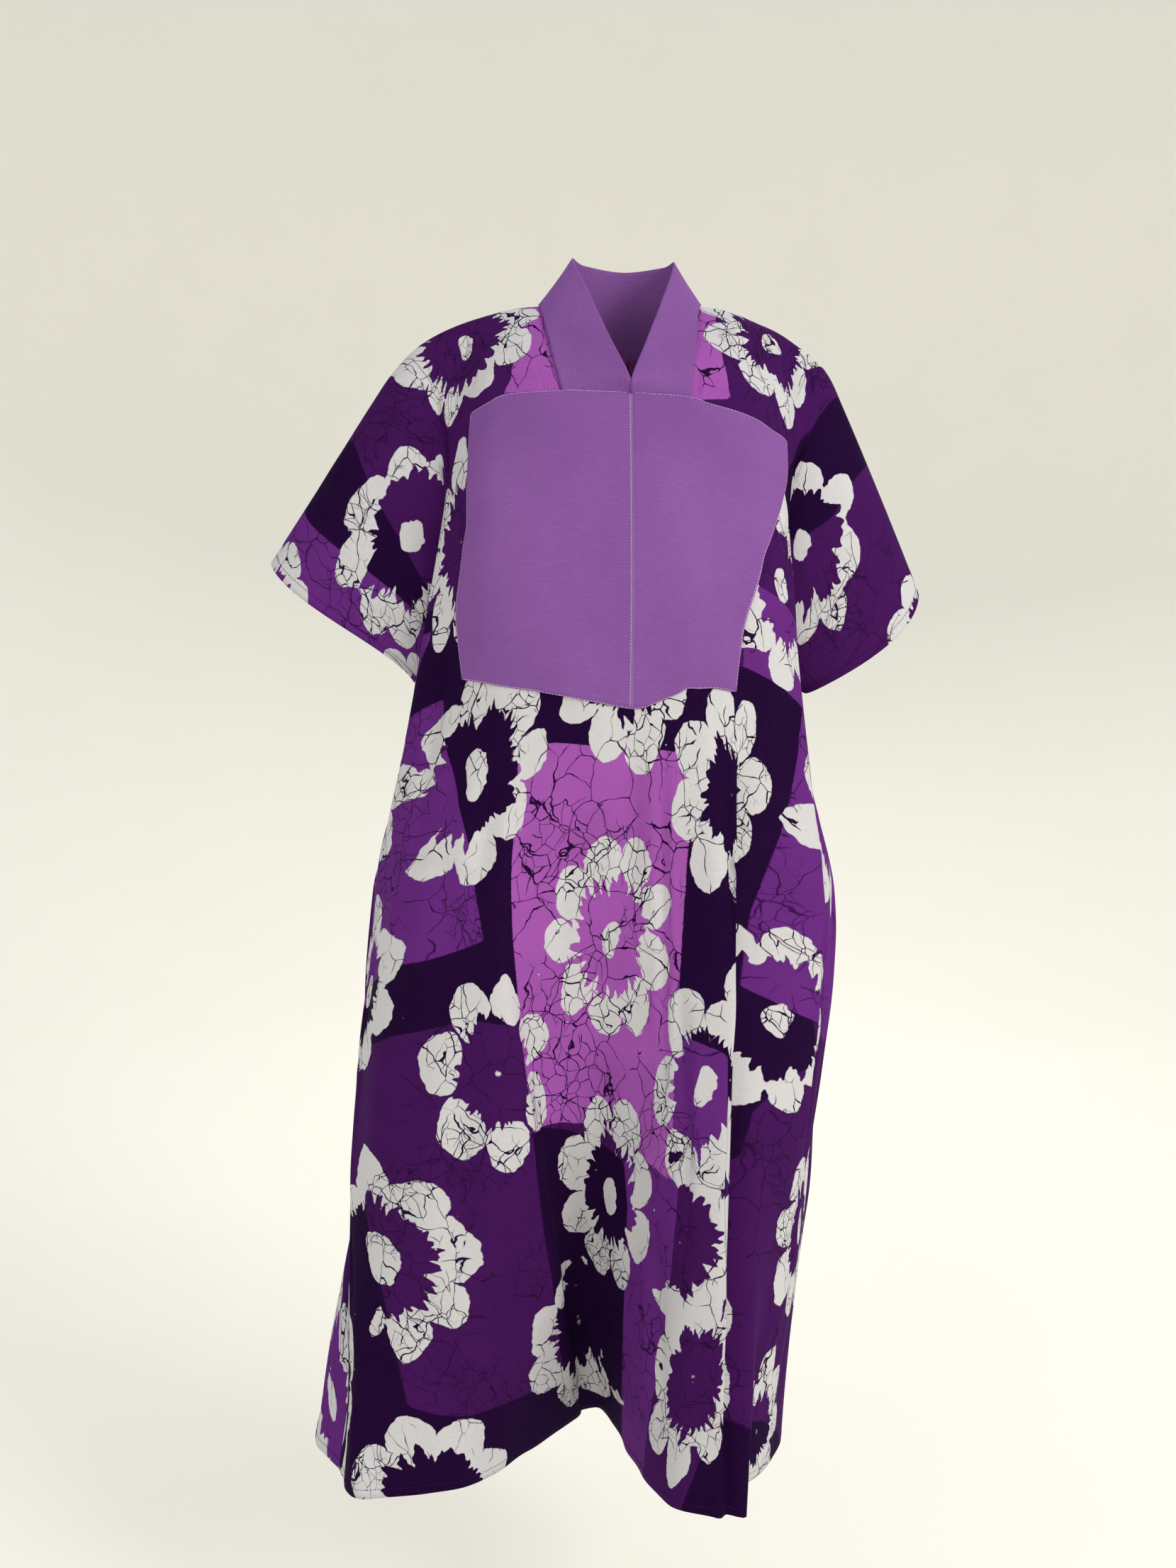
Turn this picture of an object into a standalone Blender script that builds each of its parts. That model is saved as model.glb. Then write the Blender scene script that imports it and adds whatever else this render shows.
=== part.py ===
"""Short boubou robe in printed cotton, as it hangs on its wearer.

One length of cloth makes the front and one the back, each with its half sleeves cut in one with it. They
meet on the shoulder line and down the side seams. A ribbed band edges the neck, and a ribbed bib in two
halves lies on the chest. The origin is the middle of the neck opening, level with the foot of the band.
The wearer faces -Y. Tables are in millimetres, everything else in metres.
"""

import math

import bmesh
import bpy
import numpy as np

MM = 0.001

CLOTH_WALL = 1.2 * MM
BIB_WALL = 1.6 * MM
BAND_WALL = 2.0 * MM
SHOULDER_GAP = 0.6 * MM  # each panel's edge from the shoulder line
SIDE_GAP = 1.1 * MM  # each panel's edge from the side seam
BIB_GAP = 0.25 * MM  # half the parting of the two bib halves
BIB_LIFT = 1.0 * MM  # from the front cloth to the bib
BAND_LIFT = 1.5 * MM  # from the cloth to the neck band

UNDERARM_Z, HIP_Z, KNEE_Z, HEM_Z = -0.371, -0.585, -0.890, -1.190
HIP_HANG = 0.35  # how much of the flare shows at the hip, where the cloth hangs almost straight

UNDERARM, HEM = 1, 4  # levels, between which lie 2 at the hip and 3 at the knee
COLUMNS_PER_FOLD = 3
YOKE_ROWS = 9  # shoulder line to underarm
SKIRT_ROWS = 5  # in each of the three stretches below it
SEARCH_LEVELS = np.linspace(0.02, 1.6, 80)  # levels tried for the one at a wanted height
SEARCH_PASSES = 3
SLOPE_STEP = 1e-3  # in folds and in levels, to either side of a point whose normal is wanted
CHEST_ROUND = 1.4  # 1 is a quarter ellipse, more slopes the chest away from the shoulder sooner
FOLD_TENSION = 0.42  # 0.5 is a soft spline across the folds, less is crisper

COTTON = ((0.075, 0.016, 0.130), 0.85)  # colour, roughness
RIBBED = ((0.305, 0.115, 0.430), 0.80)

# Along the shoulder line, from cuff to cuff: cloth from the middle, and where it lies.
SHOULDER = (
    # name, cloth, x, z
    ("left cuff", -470, -361, -251),
    ("left elbow", -385, -309, -174),
    ("left upper arm", -292, -258, -97),
    ("left shoulder point", -245, -231, -60),
    ("left shoulder", -205, -200, -33),
    ("left shoulder slope", -152, -150, -12),
    ("left neck point", -86, -86, 0),
    ("right neck point", 68, 68, 0),
    ("right shoulder slope", 136, 134, -19),
    ("right shoulder", 177, 169, -39),
    ("right shoulder point", 214, 197, -63),
    ("right upper arm", 262, 218, -104),
    ("right elbow", 360, 258, -193),
    ("right cuff", 457, 296, -281),
)

# Each fold line runs from the shoulder line to the hem. Cloth is its distance from the middle of the flat
# panel, and x, y its place at each level.
FRONT_FOLDS = (
    # name, cloth: top, underarm, hem, x, y: underarm, hip, knee, hem
    ("left seam", -470, -440, -420, -217, 0, -247, 16, -266, 30, -300, -85),
    ("left side", -350, -405, -398, -192, -18, -257, -6, -282, 0, -294, -106),
    ("left valley", -225, -370, -378, -163, -40, -259, -32, -286, -32, -284, -126),
    ("left edge", -155, -234, -355, -207, -75, -250, -66, -284, -62, -266, -138),
    ("left crease", -138, -196, -292, -180, -102, -224, -119, -250, -110, -205, -130),
    ("left chest", -120, -158, -232, -148, -126, -172, -140, -184, -136, -150, -106),
    ("left lobe", -105, -136, -168, -130, -135, -148, -147, -134, -134, -106, -54),
    ("left fold", -95, -114, -88, -110, -141, -122, -148, -84, -116, -52, 12),
    ("left neck", -86, -88, -69, -86, -146, -104, -131, -78, -90, -47, 31),
    ("valley left", -57, -57, -48, -56, -149, -70, -122, -55, -70, -27, 36),
    ("valley bed", -26, -26, -9, -25, -150, -32, -119, -27, -66, -12, 0),
    ("valley right", 12, 12, 33, 12, -150, 7, -128, 2, -92, 0, -40),
    ("right neck low", 54, 52, 90, 50, -148, 42, -141, 30, -125, 14, -95),
    ("right neck", 68, 76, 154, 74, -144, 73, -151, 62, -153, 46, -150),
    ("right pleat", 92, 105, 200, 99, -137, 101, -153, 97, -165, 88, -172),
    ("pleat bed", 108, 125, 212, 118, -129, 76, -126, 84, -142, 98, -164),
    ("pleat face", 124, 148, 233, 138, -117, 108, -115, 122, -136, 117, -168),
    ("right tuck", 140, 168, 272, 155, -100, 151, -97, 150, -110, 106, -128),
    ("right edge", 154, 192, 305, 165, -80, 195, -71, 174, -78, 130, -106),
    ("right valley", 215, 350, 358, 132, -38, 211, -36, 190, -38, 157, -60),
    ("right side", 335, 400, 395, 156, -18, 210, -6, 188, -8, 166, -24),
    ("right seam", 457, 440, 420, 178, 0, 201, 16, 184, 14, 153, 0),
)
BACK_FOLDS = (
    # name, cloth: top, underarm, hem, x, y: underarm, hip, knee, hem
    ("left seam", -470, -440, -420, -217, 0, -247, 16, -266, 30, -300, -85),
    ("left side", -350, -405, -360, -194, 18, -255, 50, -288, 60, -334, -36),
    ("left valley", -225, -370, -290, -168, 40, -236, 92, -280, 98, -330, 30),
    ("left edge", -160, -232, -215, -198, 76, -196, 110, -232, 124, -284, 88),
    ("left fold", -120, -160, -145, -158, 103, -160, 90, -184, 114, -226, 118),
    ("left neck", -86, -118, -85, -116, 113, -120, 118, -148, 84, -176, 80),
    ("left neck low", -55, -76, -10, -75, 111, -76, 128, -102, 118, -120, 112),
    ("left middle", -25, -36, 50, -35, 107, -36, 108, -52, 128, -62, 128),
    ("middle bed", 8, 6, 105, 5, 107, 2, 97, -12, 92, -20, 84),
    ("right middle", 42, 46, 165, 45, 111, 40, 116, 30, 116, 30, 112),
    ("right neck", 68, 86, 215, 84, 113, 80, 129, 76, 128, 80, 124),
    ("right fold", 105, 128, 265, 122, 102, 119, 104, 112, 91, 113, 79),
    ("right edge", 154, 192, 300, 160, 76, 159, 112, 150, 100, 142, 90),
    ("right valley", 215, 350, 345, 132, 40, 202, 82, 197, 76, 170, 60),
    ("right side", 335, 400, 385, 157, 18, 211, 44, 206, 40, 172, 26),
    ("right seam", 457, 440, 420, 178, 0, 201, 16, 184, 14, 153, 0),
)
# The fold lines that go round the arm. Wrap is 1 where the cloth goes right round it and 0 on the chest,
# swell is how far the sleeve stands out from the arm, and sag how far it hangs below a straight line.
SLEEVE_FOLDS = (
    # name, wrap, swell, sag
    ("left seam", 1.0, 44, 14),
    ("left side", 0.9, 46, 10),
    ("left valley", 0.5, 26, 4),
    ("left edge", 0.1, 0, 0),
    ("right edge", 0.1, 0, 0),
    ("right valley", 0.5, 26, 8),
    ("right side", 0.9, 44, 24),
    ("right seam", 1.0, 42, 34),
)
# The neck opening: how far down its yoke each panel starts, from 0 at the shoulder line to 1 at the underarm.
FRONT_NECK = {"left neck": 0.0, "valley left": 0.46, "right neck low": 0.46, "right neck": 0.0}
BACK_NECK = {"left neck": 0.0, "left neck low": 0.27, "left middle": 0.32,
             "middle bed": 0.32, "right middle": 0.27, "right neck": 0.0}

# The bib's outline on the front cloth.
BIB_TOP = ((-170, -110), (-122, -93), (-60, -91), (0, -94), (55, -98), (110, -113), (165, -136))  # cloth, z
BIB_FOOT = (
    # cloth, z
    (-165, -362),
    (-80, -372),
    (0, -387),
    (12, -386),
    (32, -378),
    (50, -369),
    (80, -368),
    (112, -373),
)
BIB_SIDES = (
    # share of the way down, left edge, right edge
    (0.00, -170, 164),
    (0.13, -172, 164),
    (0.25, -173, 155),
    (0.42, -171, 134),
    (0.50, -175, 125),
    (0.75, -183, 110),
    (1.00, -172, 104),
)
BIB_COLUMNS, BIB_ROWS = 10, 12

# The neck band, from its left front end round the back to its right front end. The foot lies on the cloth at
# the given place, and the top edge stands free but for its two front ends.
BAND = (
    # name, panel, foot: cloth, z, top: x, y, z
    ("left end", "front", -58, -89, -1, -101, -91),
    ("left lower chest", "front", -68, -70, -1, -95, -77),
    ("left upper chest", "front", -76, -40, -20, -66, -36),
    ("left front neck", "front", -84, -14, -42, -30, 15),
    ("left neck", "back", -89, -2, -55, 2, 46),
    ("left back neck", "back", -66, -30, -44, 38, 46),
    ("middle back neck", "back", -8, -50, -4, 54, 42),
    ("right back neck", "back", 52, -30, 36, 38, 44),
    ("right neck", "back", 71, -2, 45, 2, 42),
    ("right front neck", "front", 67, -14, 36, -30, 12),
    ("right upper chest", "front", 64, -40, 17, -66, -38),
    ("right lower chest", "front", 58, -70, 1, -95, -79),
    ("right end", "front", 53, -95, 1, -102, -92),
)
BAND_STEPS, BAND_ROWS = 4, 4

ROBE = bpy.data.collections.new("short_boubou_robe")


def spline(rows, at, tension=0.5):
    """The rows of a table joined by a smooth curve, read at the given places, where 0 is the first row."""
    rows = np.asarray(rows, float)
    ends = np.concatenate([2 * rows[:1] - rows[1:2], rows, 2 * rows[-1:] - rows[-2:-1]])
    start = np.clip(np.floor(at).astype(int), 0, len(rows) - 2)
    part = (at - start)[:, None]
    before, here, after, beyond = (ends[start + step] for step in range(4))
    leave, arrive = tension * (after - before), tension * (beyond - here)
    return hermite(here, after, leave, arrive, part)


def hermite(start, end, leave, arrive, part):
    """A cubic from start to end with the given slopes, at part from 0 to 1."""
    square, cube = part**2, part**3
    return (
        (2 * cube - 3 * square + 1) * start
        + (cube - 2 * square + part) * leave
        + (3 * square - 2 * cube) * end
        + (cube - square) * arrive
    )


def shoulder_line(cloth):
    """x and z of the shoulder line, at a distance along the cloth from its middle."""
    table = np.array([row[1:] for row in SHOULDER]) * MM
    at = np.interp(cloth, table[:, 0], np.arange(len(table)))
    return spline(table[:, 1:], at).T


class Panel:
    """The front or the back: a surface over fold (0 at the left seam) and level (0 shoulder line, 1 underarm,
    2 hip, 3 knee, 4 hem)."""

    def __init__(self, folds, side):
        self.names = [row[0] for row in folds]
        self.cloths = np.array([row[1:4] for row in folds]) * MM
        self.places = np.array([row[4:] for row in folds]) * MM
        sleeve = {name: (wrap, swell * MM, sag * MM) for name, wrap, swell, sag in SLEEVE_FOLDS}
        self.sleeve = np.array([sleeve.get(name, (0, 0, 0)) for name in self.names])
        self.side = side
        self.last = len(folds) - 1

    def cloth(self, fold, level):
        """Distance from the middle of the flat panel."""
        rows = np.arange(self.last + 1)
        top, underarm, hem = (np.interp(fold, rows, self.cloths[:, n]) for n in range(3))
        yoke = top + (underarm - top) * np.clip(level, 0, UNDERARM)
        return yoke + (hem - underarm) * np.clip((level - UNDERARM) / (HEM - UNDERARM), 0, 1) ** 2

    def point(self, fold, level):
        """Points on the cloth's middle surface, as an array of x, y, z."""
        fold, level = (each.ravel() for each in np.broadcast_arrays(np.asarray(fold, float), level))
        top_x, top_z = shoulder_line(np.interp(fold, np.arange(self.last + 1), self.cloths[:, 0]))
        wrap, swell, sag = spline(self.sleeve, fold).T
        wrap = np.clip(wrap, 0, 1)
        places = spline(self.places, fold, FOLD_TENSION).T
        xs, ys = places[0::2], places[1::2]
        drop = UNDERARM_Z - top_z
        chest_lean = (xs[0] - top_x) / drop
        skirt_lean = (xs[1] - xs[0]) / (HIP_Z - UNDERARM_Z)
        lean = chest_lean * (1 - wrap) / 2 + skirt_lean * (1 + wrap) / 2

        turn = np.clip(level, 0, UNDERARM) * math.pi
        round_arm = (1 - np.cos(turn)) / 2
        down = (1 - wrap) * (1 - np.cos(turn / 2)) + wrap * round_arm
        out = (1 - wrap) * np.sin(turn / 2) ** CHEST_ROUND + wrap * round_arm
        yoke_x = hermite(top_x, xs[0], xs[0] - top_x, lean * drop, down)
        yoke_y = ys[0] * out + self.side * swell * np.sin(turn)
        yoke_z = top_z + drop * down - sag * np.sin(turn)

        yoke = np.stack([yoke_x, yoke_y, yoke_z], axis=1)
        skirt = np.stack(self.skirt(xs, ys, lean, np.clip(level, UNDERARM, HEM)), axis=1)
        return np.where((level < UNDERARM)[:, None], yoke, skirt)

    def skirt(self, xs, ys, lean, level):
        """Below the underarm: one cubic between each two levels, with the slopes shared at the levels."""
        heights = np.array([UNDERARM_Z, HIP_Z, KNEE_Z, HEM_Z])
        start = np.clip(np.floor(level).astype(int), UNDERARM, HEM - 1) - UNDERARM
        part = level - UNDERARM - start
        z = heights[start] + (heights[start + 1] - heights[start]) * part
        found = []
        for values, first in ((xs, lean), (ys, np.zeros_like(ys[0]))):
            steps = np.diff(values, axis=0) / np.diff(heights)[:, None]
            at_hip, at_knee = (steps[:-1] + steps[1:]) / 2
            slopes = np.array([first, at_hip * HIP_HANG, at_knee, steps[2]])
            pick = np.arange(len(level))
            rise = heights[start + 1] - heights[start]
            found.append(
                hermite(values[start, pick], values[start + 1, pick], slopes[start, pick] * rise,
                        slopes[start + 1, pick] * rise, part)
            )
        return found[0], found[1], z

    def normal(self, fold, level):
        """Unit normals, pointing out of the garment."""
        across = self.point(fold + SLOPE_STEP, level) - self.point(fold - SLOPE_STEP, level)
        down = self.point(fold, level + SLOPE_STEP) - self.point(fold, level - SLOPE_STEP)
        found = np.cross(down, across) * -self.side
        return found / np.linalg.norm(found, axis=1, keepdims=True)

    def place(self, cloth, z, lift=0.0):
        """The point of the cloth at a distance from its middle and at a height, moved out by lift."""
        cloth, z = np.atleast_1d(cloth), np.atleast_1d(z)
        fold = np.zeros(cloth.shape)
        level = np.full(cloth.shape, UNDERARM / 2)
        rows = np.arange(self.last + 1)
        for _ in range(SEARCH_PASSES):
            for n, here in enumerate(level):
                fold[n] = np.interp(cloth[n], self.cloth(rows, here), rows)
                heights = self.point(fold[n] + 0 * SEARCH_LEVELS, SEARCH_LEVELS)[:, 2]
                level[n] = np.interp(-z[n], -heights, SEARCH_LEVELS)
        return self.point(fold, level) + lift * self.normal(fold, level)


def sheet(name, points, columns, rows, wall, slot):
    """A grid whose vertices are moved to the points, row by row, thickened evenly to both sides."""
    mesh = bpy.data.meshes.new(name)
    grid = bmesh.new()
    bmesh.ops.create_grid(grid, x_segments=columns, y_segments=rows, size=1.0)
    by_place = sorted(grid.verts, key=lambda vertex: (-round(vertex.co.y, 5), vertex.co.x))
    for vertex, point in zip(by_place, points):
        vertex.co = point
    grid.to_mesh(mesh)
    grid.free()
    mesh.materials.append(slot)
    piece = bpy.data.objects.new(name, mesh)
    ROBE.objects.link(piece)
    solid = piece.modifiers.new("wall", "SOLIDIFY")
    solid.thickness = wall
    solid.offset = 0
    return piece


def material(name, looks):
    colour, roughness = looks
    found = bpy.data.materials.new(name)
    found.use_nodes = True
    shader = found.node_tree.nodes["Principled BSDF"]
    shader.inputs["Base Color"].default_value = (*colour, 1)
    shader.inputs["Roughness"].default_value = roughness
    shader.inputs["Metallic"].default_value = 0.0
    return found


def pull_back(points, gap_top, gap_side, seam_from):
    """Parts the edges of a panel's grid from the shoulder line and from the side seams, along the cloth."""
    def inward(edge, inner, gap):
        step = inner - edge
        return edge + step * gap / np.linalg.norm(step, axis=-1, keepdims=True)

    points[0] = inward(points[0], points[1], gap_top)
    points[seam_from:, 0] = inward(points[seam_from:, 0], points[seam_from:, 1], gap_side)
    points[seam_from:, -1] = inward(points[seam_from:, -1], points[seam_from:, -2], gap_side)
    return points


def cloth_panel(name, panel, neck, slot):
    """The front or back cloth, with the neck opening cut from its top edge."""
    folds = np.linspace(0, panel.last, panel.last * COLUMNS_PER_FOLD + 1)
    neck_at = [panel.names.index(key) for key in neck]
    starts = np.interp(folds, neck_at, list(neck.values()), left=0, right=0)
    yoke = starts + (1 - starts) * np.linspace(0, 1, YOKE_ROWS + 1)[:, None]
    skirt = np.linspace(UNDERARM, HEM, (HEM - UNDERARM) * SKIRT_ROWS + 1)[1:, None] + 0 * folds
    levels = np.concatenate([yoke, skirt])
    points = panel.point(folds + 0 * levels, levels).reshape(*levels.shape, 3)
    points = pull_back(points, SHOULDER_GAP, SIDE_GAP, YOKE_ROWS)
    rows, columns = levels.shape
    return sheet(name, points.reshape(-1, 3), columns - 1, rows - 1, CLOTH_WALL, slot)


def bib_half(name, front, side, slot):
    """Half of the bib, from the centre seam to its outer edge, lying on the front cloth."""
    share = np.linspace(0, 1, BIB_ROWS + 1)[:, None]
    way = np.linspace(0, 1, BIB_COLUMNS + 1)
    sides = np.array(BIB_SIDES)
    edge = np.interp(share, sides[:, 0], sides[:, 1 if side < 0 else 2]) * MM
    seam = side * BIB_GAP
    cloth = seam + (edge - seam) * way
    top = np.interp(cloth, *(np.array(BIB_TOP).T * MM))
    foot = np.interp(cloth, *(np.array(BIB_FOOT).T * MM))
    height = top + (foot - top) * share
    lift = CLOTH_WALL / 2 + BIB_LIFT + BIB_WALL / 2
    points = front.place(cloth.ravel(), height.ravel(), lift)
    return sheet(name, points, BIB_COLUMNS, BIB_ROWS, BIB_WALL, slot)


def neck_band(name, panels, slot):
    """The band round the neck, a strip whose foot laps the edge of the neck opening."""
    lift = CLOTH_WALL / 2 + BAND_LIFT + BAND_WALL / 2
    feet = np.array([panels[row[1]].place(row[2] * MM, row[3] * MM, lift)[0] for row in BAND])
    tops = np.array([row[4:] for row in BAND]) * MM
    at = np.linspace(0, len(BAND) - 1, (len(BAND) - 1) * BAND_STEPS + 1)
    foot, top = spline(feet, at), spline(tops, at)
    way = np.linspace(0, 1, BAND_ROWS + 1)[:, None, None]
    points = foot + (top - foot) * way
    return sheet(name, points.reshape(-1, 3), len(at) - 1, BAND_ROWS, BAND_WALL, slot)


def main():
    for left_over in list(bpy.data.objects):
        bpy.data.objects.remove(left_over)
    bpy.context.scene.collection.children.link(ROBE)
    cotton, ribbed = material("batik_cotton", COTTON), material("ribbed_lilac", RIBBED)
    front, back = Panel(FRONT_FOLDS, -1), Panel(BACK_FOLDS, 1)
    cloth_panel("front_cloth", front, FRONT_NECK, cotton)
    cloth_panel("back_cloth", back, BACK_NECK, cotton)
    bib_half("bib_left", front, -1, ribbed)
    bib_half("bib_right", front, 1, ribbed)
    neck_band("neck_band", {"front": front, "back": back}, ribbed)


main()
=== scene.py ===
"""Looks of the short boubou robe: batik cotton, ribbed bib and neck band, and the sewing.

Tables are in millimetres, everything else in metres. Cloth is the distance across a panel from its middle,
and drop the distance down it from the shoulder line, both along the flat cloth.
"""

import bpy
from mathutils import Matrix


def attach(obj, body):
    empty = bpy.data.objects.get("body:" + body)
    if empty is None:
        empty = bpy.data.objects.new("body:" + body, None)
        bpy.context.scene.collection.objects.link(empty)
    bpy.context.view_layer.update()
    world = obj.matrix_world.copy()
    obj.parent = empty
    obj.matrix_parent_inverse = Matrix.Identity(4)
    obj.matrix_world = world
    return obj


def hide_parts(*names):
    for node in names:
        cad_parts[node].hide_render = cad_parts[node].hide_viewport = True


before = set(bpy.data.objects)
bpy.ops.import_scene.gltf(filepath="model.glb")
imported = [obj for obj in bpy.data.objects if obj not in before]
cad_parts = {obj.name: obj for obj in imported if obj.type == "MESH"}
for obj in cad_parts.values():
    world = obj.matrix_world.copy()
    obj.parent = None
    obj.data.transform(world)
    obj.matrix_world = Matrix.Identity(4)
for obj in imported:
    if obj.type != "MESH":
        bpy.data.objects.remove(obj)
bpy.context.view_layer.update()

import math

import bmesh
import bpy
import numpy as np

from mathutils import Matrix, Vector

MM = 0.001
TURN = math.tau
UNDERARM_Z, HIP_Z, KNEE_Z, HEM_Z = -0.371, -0.585, -0.890, -1.190
HIP_HANG = 0.35  # how much of the flare shows at the hip, where the cloth hangs almost straight

UNDERARM, HEM = 1, 4  # levels, between which lie 2 at the hip and 3 at the knee
SEARCH_LEVELS = np.linspace(0.02, 1.6, 80)  # levels tried for the one at a wanted height
SEARCH_PASSES = 3
SLOPE_STEP = 1e-3  # in folds and in levels, to either side of a point whose normal is wanted
CHEST_ROUND = 1.4  # 1 is a quarter ellipse, more slopes the chest away from the shoulder sooner
FOLD_TENSION = 0.42  # 0.5 is a soft spline across the folds, less is crisper


# Along the shoulder line, from cuff to cuff: cloth from the middle, and where it lies.
SHOULDER = (
    # name, cloth, x, z
    ("left cuff", -470, -361, -251),
    ("left elbow", -385, -309, -174),
    ("left upper arm", -292, -258, -97),
    ("left shoulder point", -245, -231, -60),
    ("left shoulder", -205, -200, -33),
    ("left shoulder slope", -152, -150, -12),
    ("left neck point", -86, -86, 0),
    ("right neck point", 68, 68, 0),
    ("right shoulder slope", 136, 134, -19),
    ("right shoulder", 177, 169, -39),
    ("right shoulder point", 214, 197, -63),
    ("right upper arm", 262, 218, -104),
    ("right elbow", 360, 258, -193),
    ("right cuff", 457, 296, -281),
)

# Each fold line runs from the shoulder line to the hem. Cloth is its distance from the middle of the flat
# panel, and x, y its place at each level.
FRONT_FOLDS = (
    # name, cloth: top, underarm, hem, x, y: underarm, hip, knee, hem
    ("left seam", -470, -440, -420, -217, 0, -247, 16, -266, 30, -300, -85),
    ("left side", -350, -405, -398, -192, -18, -257, -6, -282, 0, -294, -106),
    ("left valley", -225, -370, -378, -163, -40, -259, -32, -286, -32, -284, -126),
    ("left edge", -155, -234, -355, -207, -75, -250, -66, -284, -62, -266, -138),
    ("left crease", -138, -196, -292, -180, -102, -224, -119, -250, -110, -205, -130),
    ("left chest", -120, -158, -232, -148, -126, -172, -140, -184, -136, -150, -106),
    ("left lobe", -105, -136, -168, -130, -135, -148, -147, -134, -134, -106, -54),
    ("left fold", -95, -114, -88, -110, -141, -122, -148, -84, -116, -52, 12),
    ("left neck", -86, -88, -69, -86, -146, -104, -131, -78, -90, -47, 31),
    ("valley left", -57, -57, -48, -56, -149, -70, -122, -55, -70, -27, 36),
    ("valley bed", -26, -26, -9, -25, -150, -32, -119, -27, -66, -12, 0),
    ("valley right", 12, 12, 33, 12, -150, 7, -128, 2, -92, 0, -40),
    ("right neck low", 54, 52, 90, 50, -148, 42, -141, 30, -125, 14, -95),
    ("right neck", 68, 76, 154, 74, -144, 73, -151, 62, -153, 46, -150),
    ("right pleat", 92, 105, 200, 99, -137, 101, -153, 97, -165, 88, -172),
    ("pleat bed", 108, 125, 212, 118, -129, 76, -126, 84, -142, 98, -164),
    ("pleat face", 124, 148, 233, 138, -117, 108, -115, 122, -136, 117, -168),
    ("right tuck", 140, 168, 272, 155, -100, 151, -97, 150, -110, 106, -128),
    ("right edge", 154, 192, 305, 165, -80, 195, -71, 174, -78, 130, -106),
    ("right valley", 215, 350, 358, 132, -38, 211, -36, 190, -38, 157, -60),
    ("right side", 335, 400, 395, 156, -18, 210, -6, 188, -8, 166, -24),
    ("right seam", 457, 440, 420, 178, 0, 201, 16, 184, 14, 153, 0),
)
BACK_FOLDS = (
    # name, cloth: top, underarm, hem, x, y: underarm, hip, knee, hem
    ("left seam", -470, -440, -420, -217, 0, -247, 16, -266, 30, -300, -85),
    ("left side", -350, -405, -360, -194, 18, -255, 50, -288, 60, -334, -36),
    ("left valley", -225, -370, -290, -168, 40, -236, 92, -280, 98, -330, 30),
    ("left edge", -160, -232, -215, -198, 76, -196, 110, -232, 124, -284, 88),
    ("left fold", -120, -160, -145, -158, 103, -160, 90, -184, 114, -226, 118),
    ("left neck", -86, -118, -85, -116, 113, -120, 118, -148, 84, -176, 80),
    ("left neck low", -55, -76, -10, -75, 111, -76, 128, -102, 118, -120, 112),
    ("left middle", -25, -36, 50, -35, 107, -36, 108, -52, 128, -62, 128),
    ("middle bed", 8, 6, 105, 5, 107, 2, 97, -12, 92, -20, 84),
    ("right middle", 42, 46, 165, 45, 111, 40, 116, 30, 116, 30, 112),
    ("right neck", 68, 86, 215, 84, 113, 80, 129, 76, 128, 80, 124),
    ("right fold", 105, 128, 265, 122, 102, 119, 104, 112, 91, 113, 79),
    ("right edge", 154, 192, 300, 160, 76, 159, 112, 150, 100, 142, 90),
    ("right valley", 215, 350, 345, 132, 40, 202, 82, 197, 76, 170, 60),
    ("right side", 335, 400, 385, 157, 18, 211, 44, 206, 40, 172, 26),
    ("right seam", 457, 440, 420, 178, 0, 201, 16, 184, 14, 153, 0),
)
# The fold lines that go round the arm. Wrap is 1 where the cloth goes right round it and 0 on the chest,
# swell is how far the sleeve stands out from the arm, and sag how far it hangs below a straight line.
SLEEVE_FOLDS = (
    # name, wrap, swell, sag
    ("left seam", 1.0, 44, 14),
    ("left side", 0.9, 46, 10),
    ("left valley", 0.5, 26, 4),
    ("left edge", 0.1, 0, 0),
    ("right edge", 0.1, 0, 0),
    ("right valley", 0.5, 26, 8),
    ("right side", 0.9, 44, 24),
    ("right seam", 1.0, 42, 34),
)
# The neck opening: how far down its yoke each panel starts. 0 is at the shoulder line, 1 at the underarm.
FRONT_NECK = {"left neck": 0.0, "valley left": 0.46, "right neck low": 0.46, "right neck": 0.0}
BACK_NECK = {"left neck": 0.0, "left neck low": 0.27, "left middle": 0.32,
             "middle bed": 0.32, "right middle": 0.27, "right neck": 0.0}

# The bib's outline on the front cloth.
BIB_TOP = ((-170, -110), (-122, -93), (-60, -91), (0, -94), (55, -98), (110, -113), (165, -136))  # cloth, z
BIB_FOOT = (
    # cloth, z
    (-165, -362),
    (-80, -372),
    (0, -387),
    (12, -386),
    (32, -378),
    (50, -369),
    (80, -368),
    (112, -373),
)
BIB_SIDES = (
    # share of the way down, left edge, right edge
    (0.00, -170, 164),
    (0.13, -172, 164),
    (0.25, -173, 155),
    (0.42, -171, 134),
    (0.50, -175, 125),
    (0.75, -183, 110),
    (1.00, -172, 104),
)

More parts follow.
